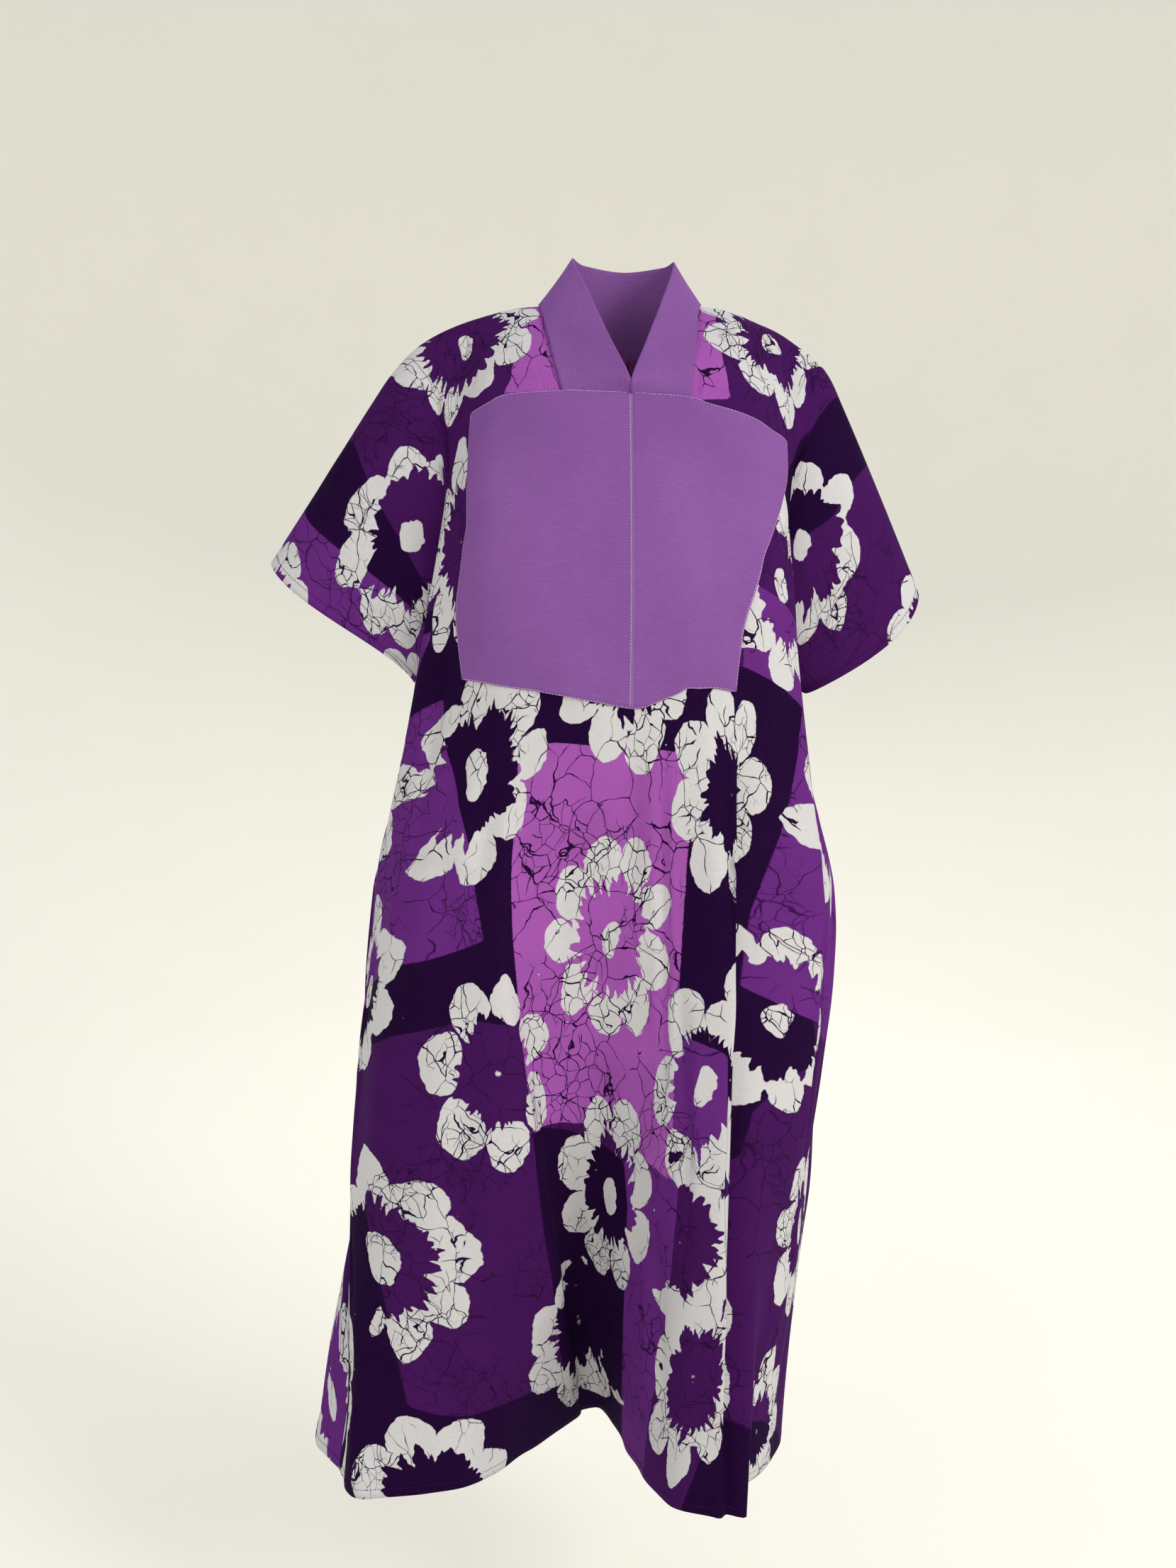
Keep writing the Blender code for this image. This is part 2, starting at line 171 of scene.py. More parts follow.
# The neck band, from its left front end round the back to its right front end. The foot lies on the cloth at
# the given place, and the top edge stands free but for its two front ends.
BAND = (
    # name, panel, foot: cloth, z, top: x, y, z
    ("left end", "front", -58, -89, -1, -101, -91),
    ("left lower chest", "front", -68, -70, -1, -95, -77),
    ("left upper chest", "front", -76, -40, -20, -66, -36),
    ("left front neck", "front", -84, -14, -42, -30, 15),
    ("left neck", "back", -89, -2, -55, 2, 46),
    ("left back neck", "back", -66, -30, -44, 38, 46),
    ("middle back neck", "back", -8, -50, -4, 54, 42),
    ("right back neck", "back", 52, -30, 36, 38, 44),
    ("right neck", "back", 71, -2, 45, 2, 42),
    ("right front neck", "front", 67, -14, 36, -30, 12),
    ("right upper chest", "front", 64, -40, 17, -66, -38),
    ("right lower chest", "front", 58, -70, 1, -95, -79),
    ("right end", "front", 53, -95, 1, -102, -92),
)


def spline(rows, at, tension=0.5):
    """The rows of a table joined by a smooth curve, read at the given places, where 0 is the first row."""
    rows = np.asarray(rows, float)
    ends = np.concatenate([2 * rows[:1] - rows[1:2], rows, 2 * rows[-1:] - rows[-2:-1]])
    start = np.clip(np.floor(at).astype(int), 0, len(rows) - 2)
    part = (at - start)[:, None]
    before, here, after, beyond = (ends[start + step] for step in range(4))
    leave, arrive = tension * (after - before), tension * (beyond - here)
    return hermite(here, after, leave, arrive, part)


def hermite(start, end, leave, arrive, part):
    """A cubic from start to end with the given slopes, at part from 0 to 1."""
    square, cube = part**2, part**3
    return (
        (2 * cube - 3 * square + 1) * start
        + (cube - 2 * square + part) * leave
        + (3 * square - 2 * cube) * end
        + (cube - square) * arrive
    )


def unit(vectors):
    """The vectors at a length of 1."""
    return vectors / np.maximum(np.linalg.norm(vectors, axis=-1, keepdims=True), 1e-12)


def waves(across, down, seed, count, lengths, height):
    """A sum of waves in all directions. Height gives how high each one is, from its length."""
    draw = np.random.default_rng(seed)
    found = 0 * across
    for _ in range(count):
        turn, start = draw.uniform(0, TURN, 2)
        length = draw.uniform(*lengths)
        along = math.cos(turn) * across + math.sin(turn) * down
        found = found + np.sin(along * TURN / length + start) * height(length)
    return found


def bib_ends(cloth):
    """Heights of the bib's top and foot, at distances from the middle of the front cloth."""
    return [np.interp(cloth, *(np.array(edge).T * MM)) for edge in (BIB_TOP, BIB_FOOT)]


def shoulder_line(cloth):
    """x and z of the shoulder line, at a distance along the cloth from its middle."""
    table = np.array([row[1:] for row in SHOULDER]) * MM
    at = np.interp(cloth, table[:, 0], np.arange(len(table)))
    return spline(table[:, 1:], at).T


class Panel:
    """The front or the back: a surface over fold (0 at the left seam) and level (0 at the shoulder line,
    1 at the underarm, 2 at the hip, 3 at the knee, 4 at the hem)."""

    def __init__(self, folds, side):
        self.names = [row[0] for row in folds]
        self.cloths = np.array([row[1:4] for row in folds]) * MM
        self.places = np.array([row[4:] for row in folds]) * MM
        sleeve = {name: (wrap, swell * MM, sag * MM) for name, wrap, swell, sag in SLEEVE_FOLDS}
        self.sleeve = np.array([sleeve.get(name, (0, 0, 0)) for name in self.names])
        self.side = side
        self.last = len(folds) - 1

    def cloth(self, fold, level):
        """Distance from the middle of the flat panel."""
        rows = np.arange(self.last + 1)
        top, underarm, hem = (np.interp(fold, rows, self.cloths[:, n]) for n in range(3))
        yoke = top + (underarm - top) * np.clip(level, 0, UNDERARM)
        return yoke + (hem - underarm) * np.clip((level - UNDERARM) / (HEM - UNDERARM), 0, 1) ** 2

    def point(self, fold, level):
        """Points on the cloth's middle surface, as an array of x, y, z."""
        fold, level = (each.ravel() for each in np.broadcast_arrays(np.asarray(fold, float), level))
        top_x, top_z = shoulder_line(np.interp(fold, np.arange(self.last + 1), self.cloths[:, 0]))
        wrap, swell, sag = spline(self.sleeve, fold).T
        wrap = np.clip(wrap, 0, 1)
        places = spline(self.places, fold, FOLD_TENSION).T
        xs, ys = places[0::2], places[1::2]
        drop = UNDERARM_Z - top_z
        chest_lean = (xs[0] - top_x) / drop
        skirt_lean = (xs[1] - xs[0]) / (HIP_Z - UNDERARM_Z)
        lean = chest_lean * (1 - wrap) / 2 + skirt_lean * (1 + wrap) / 2

        turn = np.clip(level, 0, UNDERARM) * math.pi
        round_arm = (1 - np.cos(turn)) / 2
        down = (1 - wrap) * (1 - np.cos(turn / 2)) + wrap * round_arm
        out = (1 - wrap) * np.sin(turn / 2) ** CHEST_ROUND + wrap * round_arm
        yoke_x = hermite(top_x, xs[0], xs[0] - top_x, lean * drop, down)
        yoke_y = ys[0] * out + self.side * swell * np.sin(turn)
        yoke_z = top_z + drop * down - sag * np.sin(turn)

        yoke = np.stack([yoke_x, yoke_y, yoke_z], axis=1)
        skirt = np.stack(self.skirt(xs, ys, lean, np.clip(level, UNDERARM, HEM)), axis=1)
        return np.where((level < UNDERARM)[:, None], yoke, skirt)

    def skirt(self, xs, ys, lean, level):
        """Below the underarm: one cubic between each two levels, with the slopes shared at the levels."""
        heights = np.array([UNDERARM_Z, HIP_Z, KNEE_Z, HEM_Z])
        start = np.clip(np.floor(level).astype(int), UNDERARM, HEM - 1) - UNDERARM
        part = level - UNDERARM - start
        z = heights[start] + (heights[start + 1] - heights[start]) * part
        found = []
        for values, first in ((xs, lean), (ys, np.zeros_like(ys[0]))):
            steps = np.diff(values, axis=0) / np.diff(heights)[:, None]
            at_hip, at_knee = (steps[:-1] + steps[1:]) / 2
            slopes = np.array([first, at_hip * HIP_HANG, at_knee, steps[2]])
            pick = np.arange(len(level))
            rise = heights[start + 1] - heights[start]
            found.append(
                hermite(values[start, pick], values[start + 1, pick], slopes[start, pick] * rise,
                        slopes[start + 1, pick] * rise, part)
            )
        return found[0], found[1], z

    def normal(self, fold, level):
        """Unit normals, pointing out of the garment."""
        across = self.point(fold + SLOPE_STEP, level) - self.point(fold - SLOPE_STEP, level)
        down = self.point(fold, level + SLOPE_STEP) - self.point(fold, level - SLOPE_STEP)
        return unit(np.cross(down, across) * -self.side)

    def find(self, cloth, z):
        """Fold and level of the cloth at a distance from its middle and at a height."""
        cloth, z = np.atleast_1d(cloth), np.atleast_1d(z)
        fold = np.zeros(cloth.shape)
        level = np.full(cloth.shape, UNDERARM / 2)
        rows = np.arange(self.last + 1)
        for _ in range(SEARCH_PASSES):
            for n, here in enumerate(level):
                fold[n] = np.interp(cloth[n], self.cloth(rows, here), rows)
                heights = self.point(fold[n] + 0 * SEARCH_LEVELS, SEARCH_LEVELS)[:, 2]
                level[n] = np.interp(-z[n], -heights, SEARCH_LEVELS)
        return fold, level

    def lifted(self, fold, level, lift):
        """Points moved out from the cloth by lift."""
        return self.point(fold, level) + np.reshape(lift, (-1, 1)) * self.normal(fold, level)


# ---------------------------------------------------------------- cloth

CLOTH_THICK = 0.8 * MM
COLUMN_STEP = 5.6 * MM
YOKE_STEPS, SKIRT_STEPS = 62, 40  # rows to the underarm, and in each stretch below it
DROP_SAMPLES = 201
FREE_SEAM, FREE_TOP, FREE_BIB = 0.6, 30 * MM, 7 * MM  # folds, and lengths, over which creases fade out
HEM_TURN, HEM_SEWN = 9.5 * MM, 8.3 * MM  # from the edge to the turned hem's end, and to its stitching
UNEVEN_ACROSS, UNEVEN_DOWN = 1.5, 0.6  # over 1 the waves are closer together that way
UNEVEN_SEED, UNEVEN_LENGTHS, UNEVEN_SHARE = 11, (0.045, 0.16), 0.0035  # height as a share of length
CREASE_RIDGE, CREASE_ENDS = 1.2, 0.8  # over 0 it has a ridge on each side, under 1 its ends are blunt

# Small creases: where each starts and ends on the flat cloth, how wide it is and how deep.
CREASES = {
    # cloth, drop, to cloth, to drop, width, depth
    "front": (
        (-199, 340, -193, 570, 10, 4),
        (-194, 540, -214, 730, 12, 3.6),
        (-131, 450, -136, 690, 17, 3.6),
        (-146, 690, -204, 1090, 24, 5),
        (29, 440, 60, 830, 8, 3.6),
        (62, 680, 110, 970, 9, 3.4),
        (-61, 880, -44, 1200, 26, 5.2),
        (57, 930, 114, 1180, 19, 4.6),
        (0, 470, 8, 640, 15, 2.6),
        (-150, 96, -84, 104, 9, 4.2),
        (60, 112, 130, 118, 8, 3),
        (-330, 330, -250, 520, 16, 3.1),
        (-300, 60, -230, 250, 14, 4.5),
        (-390, 70, -270, 260, 17, 3.9),
        (-430, 150, -330, 330, 13, 3.1),
        (-250, 40, -205, 170, 11, 3.4),
        (330, 60, 230, 230, 15, 4.2),
        (390, 110, 290, 300, 14, 3.6),
        (270, 30, 215, 190, 11, 3.1),
        (84, 430, 118, 700, 13, 3.9),
        (-44, 520, -60, 760, 15, 2.5),
        (128, 720, 158, 1010, 12, 3.9),
        (-300, 760, -330, 1010, 18, 3.4),
        (230, 560, 250, 820, 15, 3.1),
        (-240, 520, -130, 600, 10, 2.2),
        (150, 520, 90, 590, 9, 2.1),
        (-220, 1060, -250, 1180, 14, 2.8),
    ),
    "back": (
        (-330, 60, -240, 260, 15, 4.2),
        (330, 70, 235, 250, 15, 4.2),
        (-400, 120, -300, 320, 14, 3.4),
        (395, 130, 300, 320, 13, 3.4),
        (-110, 120, -60, 330, 17, 3.1),
        (100, 130, 70, 350, 16, 3.1),
        (-20, 330, -30, 640, 14, 2.5),
        (-170, 380, -180, 720, 15, 3.6),
        (150, 400, 190, 700, 14, 3.4),
        (50, 640, 90, 980, 16, 3.1),
        (-90, 760, -70, 1090, 15, 3.4),
        (-260, 700, -300, 1010, 16, 3.6),
        (260, 720, 290, 1000, 14, 3.1),
        (-60, 60, 60, 66, 12, 2.2),
        (10, 1000, 40, 1190, 12, 2.5),
    ),
}


class Weave:
    """One panel laid out on a fine grid: its points, and where each lies on the flat cloth."""

    def __init__(self, name, panel, neck):
        self.name, self.panel = name, panel
        widths = np.abs(np.diff(panel.cloths, axis=0)).max(axis=1)
        steps = np.maximum(3, np.round(widths / COLUMN_STEP).astype(int))
        parts = [fold + np.arange(count) / count for fold, count in enumerate(steps)]
        self.folds = np.concatenate(parts + [[panel.last]])
        neck_at = [panel.names.index(key) for key in neck]
        starts = np.interp(self.folds, neck_at, list(neck.values()), left=0, right=0)
        yoke = starts + (1 - starts) * np.linspace(0, 1, YOKE_STEPS + 1)[:, None]
        skirt = np.linspace(UNDERARM, HEM, (HEM - UNDERARM) * SKIRT_STEPS + 1)[1:, None] + 0 * self.folds
        self.levels = np.concatenate([yoke, skirt])
        self.shape = self.levels.shape
        every = self.folds + 0 * self.levels
        self.points = panel.point(every, self.levels).reshape(*self.shape, 3)
        self.cloth = panel.cloth(every, self.levels)
        self.drop = self.drops()
        push = self.unevenness()
        for row in CREASES[name]:
            push = push + crease_depth(self.cloth, self.drop, *(np.array(row) * MM))
        self.points = self.points + self.normals() * (push * self.free())[..., None]

    def drops(self):
        """How far down the flat cloth each point lies, along its fold line from the shoulder line."""
        levels = np.linspace(0, HEM, DROP_SAMPLES)[:, None] + 0 * self.folds
        every = self.folds + 0 * levels
        points = self.panel.point(every, levels).reshape(*levels.shape, 3)
        across = np.diff(self.panel.cloth(every, levels), axis=0)
        length = (np.diff(points, axis=0) ** 2).sum(axis=2)
        fall = np.cumsum(np.sqrt(np.maximum(length - across**2, 0)), axis=0)
        fall = np.concatenate([0 * fall[:1], fall])
        columns = [np.interp(here, down, far) for here, down, far in zip(self.levels.T, levels.T, fall.T)]
        return np.stack(columns, axis=1)

    def normals(self):
        """Unit normals of the grid, pointing out of the garment."""
        down, across = np.gradient(self.points, axis=0), np.gradient(self.points, axis=1)
        return unit(np.cross(down, across) * -self.panel.side)

    def unevenness(self):
        """Slow waves of about a millimetre, so that no stretch of the cloth is quite smooth."""
        across, down = UNEVEN_ACROSS * self.cloth, UNEVEN_DOWN * self.drop
        seed = UNEVEN_SEED + self.panel.side
        return waves(across, down, seed, 16, UNEVEN_LENGTHS, lambda length: length * UNEVEN_SHARE)

    def free(self):
        """1 where the cloth may move, falling to 0 at its seams and under the bib, where pieces meet it."""
        edge = np.minimum(self.folds, self.panel.last - self.folds) / FREE_SEAM
        found = np.clip(edge, 0, 1) * np.clip(self.drop / FREE_TOP, 0, 1)
        if self.name == "front":
            found = found * np.clip(-inside_bib(self.cloth, self.points[..., 2]) / FREE_BIB, 0, 1)
        return found

    def edges(self):
        """Distances along the cloth to the hem, to the cuff, and to the side seam below it."""
        hem = self.drop[-1] - self.drop
        side = np.minimum(self.cloth - self.cloth[:, :1], self.cloth[:, -1:] - self.cloth)
        above = self.levels < UNDERARM
        return np.stack([hem, np.where(above, side, 1.0), np.where(above, 1.0, side)], axis=-1)

    def area(self):
        """Area of the flat cloth."""
        wide, tall = np.diff(self.cloth, axis=1)[1:], np.diff(self.drop, axis=0)[:, 1:]
        return float((wide * tall).sum())

    def piece(self, slot):
        """The cloth as an object, with what its print needs to know at each point and corner."""
        rows, columns = self.shape
        name = f"{self.name}_fabric"
        piece, order = grid_piece(name, self.points.reshape(-1, 3), columns - 1, rows - 1)
        cloth, drop = self.cloth.ravel()[order], self.drop.ravel()[order]
        set_vectors(piece, "cloth", "POINT", np.stack([cloth, drop, 0 * cloth + self.panel.side], axis=1))
        set_vectors(piece, "edge", "POINT", self.edges().reshape(-1, 3)[order])
        tones = [tone_depth(self.name, tone, cloth, drop) for tone in ("violet", "dark", "orchid")]
        set_vectors(piece, "tone", "POINT", np.stack(tones, axis=1))
        set_flowers(piece, self.name, cloth, drop)
        thicken(piece, CLOTH_THICK)
        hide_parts(f"{self.name}_cloth")
        return piece


def inside_bib(cloth, z):
    """How far inside the bib's outline a place on the front cloth is, negative outside it."""
    top, foot = bib_ends(cloth)
    share = (top - z) / (top - foot)
    sides = np.array(BIB_SIDES)
    left, right = (np.interp(share, sides[:, 0], sides[:, n]) * MM for n in (1, 2))
    return np.minimum.reduce([cloth - left, right - cloth, top - z, z - foot])


def crease_depth(cloth, drop, start, top, end, foot, width, depth):
    """A valley with a low ridge on each side, which fades out at both ends."""
    run, fall = end - start, foot - top
    length = math.hypot(run, fall)
    along = ((cloth - start) * run + (drop - top) * fall) / length
    aside = ((cloth - start) * fall - (drop - top) * run) / length / width
    part = np.clip(along / length, 0, 1)
    across = (1 - CREASE_RIDGE * aside**2) * np.exp(-(aside**2))
    return -depth * across * np.sin(math.pi * part) ** CREASE_ENDS


def grid_piece(name, points, columns, rows):
    """A grid of faces with its vertices moved to the points, row by row, and each vertex's place in them."""
    mesh = bpy.data.meshes.new(name)
    grid = bmesh.new()
    bmesh.ops.create_grid(grid, x_segments=columns, y_segments=rows, size=1.0)
    by_place = sorted(grid.verts, key=lambda vertex: (-round(vertex.co.y, 6), vertex.co.x))
    for vertex, point in zip(by_place, points):
        vertex.co = point
    grid.verts.index_update()
    order = np.empty(len(by_place), int)
    for place, vertex in enumerate(by_place):
        order[vertex.index] = place
    grid.to_mesh(mesh)
    grid.free()
    return add_piece(name, mesh), order


def put(name, data):
    """An object in the scene that holds the data."""
    made = bpy.data.objects.new(name, data)
    bpy.context.scene.collection.objects.link(made)
    return made


def add_piece(name, mesh):
    """A mesh as a smooth object of the robe."""
    mesh.polygons.foreach_set("use_smooth", [True] * len(mesh.polygons))
    piece = put(name, mesh)
    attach(piece, "root")
    return piece


def thicken(piece, thickness):
    """Makes the piece a closed shell, half of it on each side of its surface."""
    solid = piece.modifiers.new("wall", "SOLIDIFY")
    solid.thickness = thickness
    solid.offset = 0


def set_vectors(piece, name, domain, values):
    """Writes three numbers to each point or face corner, for a material to read by name."""
    made = piece.data.attributes.new(name, "FLOAT_VECTOR", domain)
    made.data.foreach_set("vector", np.asarray(values, np.float32).ravel())


# ---------------------------------------------------------------- print

# Blocks of dye on the plum cloth, each drawn by its corners.
BLOCKS = {
    # corners of each block: cloth, drop
    ("front", "violet"): (
        ((-330, 395), (-221, 390), (-198, 388), (-166, 490), (-149, 546), (-129, 647), (-208, 658),
         (-330, 690)),
        ((-413, -20), (-413, 28), (-400, 120), (-385, 220), (-330, 300), (-205, 318), (-300, 460),
         (-560, 300), (-560, -20)),
        ((111, 300), (111, 422), (178, 416), (163, 611), (162, 678), (211, 696), (300, 700), (430, 600),
         (430, 300)),
        ((64, 742), (116, 755), (129, 852), (88, 883), (95, 1000), (95, 1300), (20, 1300), (10, 905),
         (60, 860)),
    ),
    ("front", "dark"): (
        ((-336, -20), (-336, 16), (-351, 82), (-366, 181), (-330, 246), (-207, 298), (-205, 318),
         (-330, 300), (-385, 220), (-400, 120), (-413, 28), (-413, -20)),
        ((-205, 312), (-168, 290), (-168, 400), (-200, 392), (-250, 402)),
        ((-200, 380), (185, 380), (178, 416), (111, 422), (66, 480), (-110, 470)),
        ((-200, 384), (-96, 384), (-90, 740), (-129, 655), (-149, 546), (-166, 490)),
        ((-330, 690), (-208, 658), (-130, 648), (-86, 640), (-88, 738), (-159, 721), (-224, 732),
         (-330, 752)),
        ((58, 470), (111, 422), (178, 416), (163, 611), (162, 678), (211, 696), (225, 737), (204, 755),
         (177, 803), (172, 857), (129, 852), (116, 755), (58, 745)),
        ((-104, 845), (12, 905), (20, 949), (22, 1300), (-103, 1300), (-107, 897)),
        ((-258, 892), (-258, 975), (-264, 1046), (-275, 1112), (-235, 1138), (-136, 1169), (-96, 1169),
         (-96, 1300), (-460, 1300), (-460, 892)),
        ((251, -20), (252, 58), (218, 111), (160, 160), (165, 223), (250, 190), (312, 145), (325, 92),
         (319, 50), (321, -20)),
        ((168, 1120), (440, 1100), (440, 1300), (160, 1300)),
    ),
    ("front", "orchid"): (
        ((-104, 463), (63, 475), (66, 745), (82, 899), (-104, 849), (-95, 706)),
        ((-100, -20), (-40, -20), (-40, 140), (-124, 116), (-104, 60)),
        ((40, -20), (82, -20), (82, 46), (96, 124), (45, 140)),
    ),
    ("back", "violet"): (
        ((-416, -20), (-416, 120), (-300, 330), (-360, 460), (-560, 300), (-560, -20)),
        ((-150, 150), (118, 168), (104, 420), (-160, 392)),
        ((110, 640), (300, 610), (330, 900), (96, 930)),
        ((-460, 980), (-340, 960), (-330, 1140), (-460, 1160)),
    ),
    ("back", "dark"): (
        ((-336, -20), (-330, 90), (-250, 240), (-300, 330), (-416, 120), (-416, -20)),
        ((251, -20), (240, 80), (190, 200), (240, 300), (330, 150), (321, -20)),
        ((118, 168), (196, 176), (186, 520), (96, 505), (104, 420)),
        ((-30, 505), (96, 505), (110, 640), (-24, 650)),
        ((-340, 500), (-178, 520), (-182, 640), (-350, 660)),
        ((-200, 890), (-40, 880), (-52, 1300), (-210, 1300)),
        ((-340, 690), (-250, 700), (-260, 960), (-340, 960)),
    ),
    ("back", "orchid"): (
        ((-100, -20), (82, -20), (96, 100), (30, 96), (-62, 91), (-116, 98)),
        ((-178, 520), (-30, 505), (-22, 800), (-186, 818)),
        ((60, 1000), (220, 985), (226, 1160), (70, 1180)),
    ),
}
# Flowers, in the shape of a ring of petals round a small middle. A gap is a stretch of the ring with no
# petals: where its middle lies in turns from the right, and half its width. Ring is how far out the petals
# run together, full how wide each one is, and hollow how far out their drips start.
FLOWERS = {
    # cloth, drop, half width, half height, petals, turn, middle, ring, hollow, full, gap, gap width
    "front": (
        (-177, 28, 88, 76, 9, 0.2, 0.9, 0.7, 0.6),
        (-349, 138, 94, 80, 9, 0.5, 1.1, 0.78, 0.62, 1.05),
        (-146, 482, 76, 108, 8, 0.1, 1.2, 0.64, 0.56, 1.02, 0.43, 0.06),
        (-4, 388, 64, 112, 8, 0.5, 1, 0.6, 0.5),
        (101, 506, 58, 98, 8, 0.4, 0, 0.6, 0.5, 0.96),
        (-8, 662, 60, 106, 9, 0.6, 0.9, 0.6, 0.55, 0.98),
        (186, 702, 76, 98, 9, 0.2, 1, 0.76, 0.6, 1.05),
        (-130, 778, 62, 104, 7, 0.3, 0, 0, 0.54, 0.86),
        (-4, 944, 64, 116, 8, 0.5, 1.1, 0.58, 0.54, 0.98),
        (-250, 958, 84, 108, 8, 0, 1.4, 0.72, 0.56, 1.02, 0.46, 0.13),
        (-62, 1130, 88, 112, 8, 0.4, 0, 0.7, 0.58, 1.02, -0.06, 0.17),
        (142, 1090, 56, 112, 8, 0.1, 0, 0.66, 0.5, 0.98),
        (98, 954, 68, 88, 8, 0.7, 0, 0.78, 0.6, 1.05, 0.5, 0.2),
        (100, 794, 52, 106, 6, 0.2, 1.1, 0, 0.54, 0.88),
        (286, 1120, 64, 84, 8, 0.3, 0, 0.7, 0.5, 0.95),
        (-288, 1216, 96, 92, 8, 0, 0, 0.74, 0.56),
        (320, 141, 80, 82, 9, 0.3, 0.9, 0.78, 0.62, 1.02),
        (152, 284, 74, 100, 8, 0.1, 1.1, 0.68),
        (145, 26, 74, 76, 8, 0.6, 1, 0.7, 0.6),
        (-470, 216, 56, 58, 7, 0.2, 0, 0.66),
        (-492, 30, 58, 58, 7, 0, 0, 0.66),
        (480, 28, 58, 58, 7, 0.4, 0, 0.66),
        (256, 482, 82, 96, 8, 0.3, 1, 0.7),
        (-290, 474, 84, 94, 8, 0.1, 1, 0.66),
        (-284, 668, 82, 98, 8, 0.4, 1, 0.74),
        (300, 900, 86, 98, 8, 0.2, 1.1, 0.64),
        (-180, 246, 40, 110, 8, 0.2, 0, 0.64),
        (-420, 1040, 84, 100, 8, 0.1, 1, 0.64),
    ),
    "back": (
        (-176, -34, 92, 84, 9, 0.2, 0, 0.66),
        (143, -30, 74, 92, 8, 0.6, 0, 0.66),
        (-340, 150, 88, 88, 8, 0.4, 1.1, 0.68),
        (330, 160, 88, 92, 9, 0.1, 1, 0.74),
        (-12, 250, 90, 104, 9, 0.5, 1.2, 0.66),
        (-214, 330, 84, 100, 8, 0, 1, 0.7, 0.55, 1, 0.3, 0.08),
        (204, 360, 86, 102, 8, 0.3, 1, 0.62),
        (-330, 560, 84, 100, 8, 0.6, 1, 0.68),
        (20, 566, 84, 104, 9, 0.2, 1.1, 0.74),
        (-108, 690, 80, 106, 8, 0.4, 1, 0.4),
        (190, 640, 84, 100, 8, 0.1, 0.9, 0.68, 0.55, 1, -0.2, 0.1),
        (318, 520, 78, 94, 8, 0.5, 1, 0.64),
        (-250, 830, 86, 102, 8, 0.2, 1.3, 0.7),
        (60, 850, 86, 106, 9, 0.7, 1, 0.66),
        (262, 880, 84, 100, 8, 0, 1, 0.74, 0.55, 1, 0.5, 0.12),
        (-100, 980, 84, 104, 8, 0.3, 1.1, 0.64),
        (-392, 1050, 76, 98, 8, 0.5, 1, 0.7),
        (-250, 1130, 84, 96, 8, 0.4, 1, 0.68),
        (140, 1096, 86, 102, 8, 0.2, 1, 0.7, 0.55, 1, 0.1, 0.1),
        (-10, 1180, 84, 88, 8, 0, 0, 0.66),
        (330, 1130, 80, 90, 8, 0.1, 1, 0.66),
    ),
}
FLOWER_OWN, FLOWER_USUAL = 8, (0.55, 1, 0, 0)  # columns that every row has, and how a shorter row ends
FLOWER_REACH = 1.5  # in flower radii, beyond which a face has no flower
FLOWER_RANKS = ("_near", "_next")
FAR_OFF = (9.0, 9.0, 0.0)


def tone_depth(panel, tone, cloth, drop):
    """How far inside the blocks of a tone each place is, negative outside them."""
    depths = [inside(np.array(outline) * MM, cloth, drop) for outline in BLOCKS[panel, tone]]
    return np.maximum.reduce([np.full(cloth.shape, -1.0), *depths])


def inside(outline, cloth, drop):
    """How far inside a polygon each place is, negative outside it."""
    nearest = np.full(cloth.shape, np.inf)
    within = np.zeros(cloth.shape, bool)
    for (x, y), (to_x, to_y) in zip(outline, np.roll(outline, -1, axis=0)):
        run, fall = to_x - x, to_y - y
        part = np.clip(((cloth - x) * run + (drop - y) * fall) / (run**2 + fall**2), 0, 1)
        nearest = np.minimum(nearest, np.hypot(cloth - x - part * run, drop - y - part * fall))
        if fall:
            within ^= ((y > drop) != (to_y > drop)) & (cloth < x + run * (drop - y) / fall)
    return np.where(within, nearest, -nearest)


def set_flowers(piece, panel, cloth, drop):
    """Gives each face its two nearest flowers: where it lies in each one, and how that flower is made."""
    own = np.array([row + FLOWER_USUAL[len(row) - FLOWER_OWN:] for row in FLOWERS[panel]])
    corner = np.empty(len(piece.data.loops), np.int32)
    piece.data.loops.foreach_get("vertex_index", corner)
    corner = corner.reshape(-1, 4)
    x = (cloth[corner] / MM - own[:, 0, None, None]) / own[:, 2, None, None]
    y = (drop[corner] / MM - own[:, 1, None, None]) / own[:, 3, None, None]
    far = np.hypot(x.mean(axis=2), y.mean(axis=2))
    faces = np.arange(len(corner))
    for rank, chosen in zip(FLOWER_RANKS, np.argsort(far, axis=0)):
        seed = np.broadcast_to(chosen[:, None], corner.shape)
        bloom = np.stack([x[chosen, faces], y[chosen, faces], seed], axis=2)
        bloom[far[chosen, faces] > FLOWER_REACH] = FAR_OFF
        set_vectors(piece, "bloom" + rank, "CORNER", bloom)
        for name, columns in (("petal", (4, 5, 6)), ("gap", (10, 11, 7)), ("form", (7, 9, 8))):
            made = np.repeat(own[chosen, None][..., columns], 4, axis=1)
            set_vectors(piece, name + rank, "CORNER", made)


# ---------------------------------------------------------------- materials

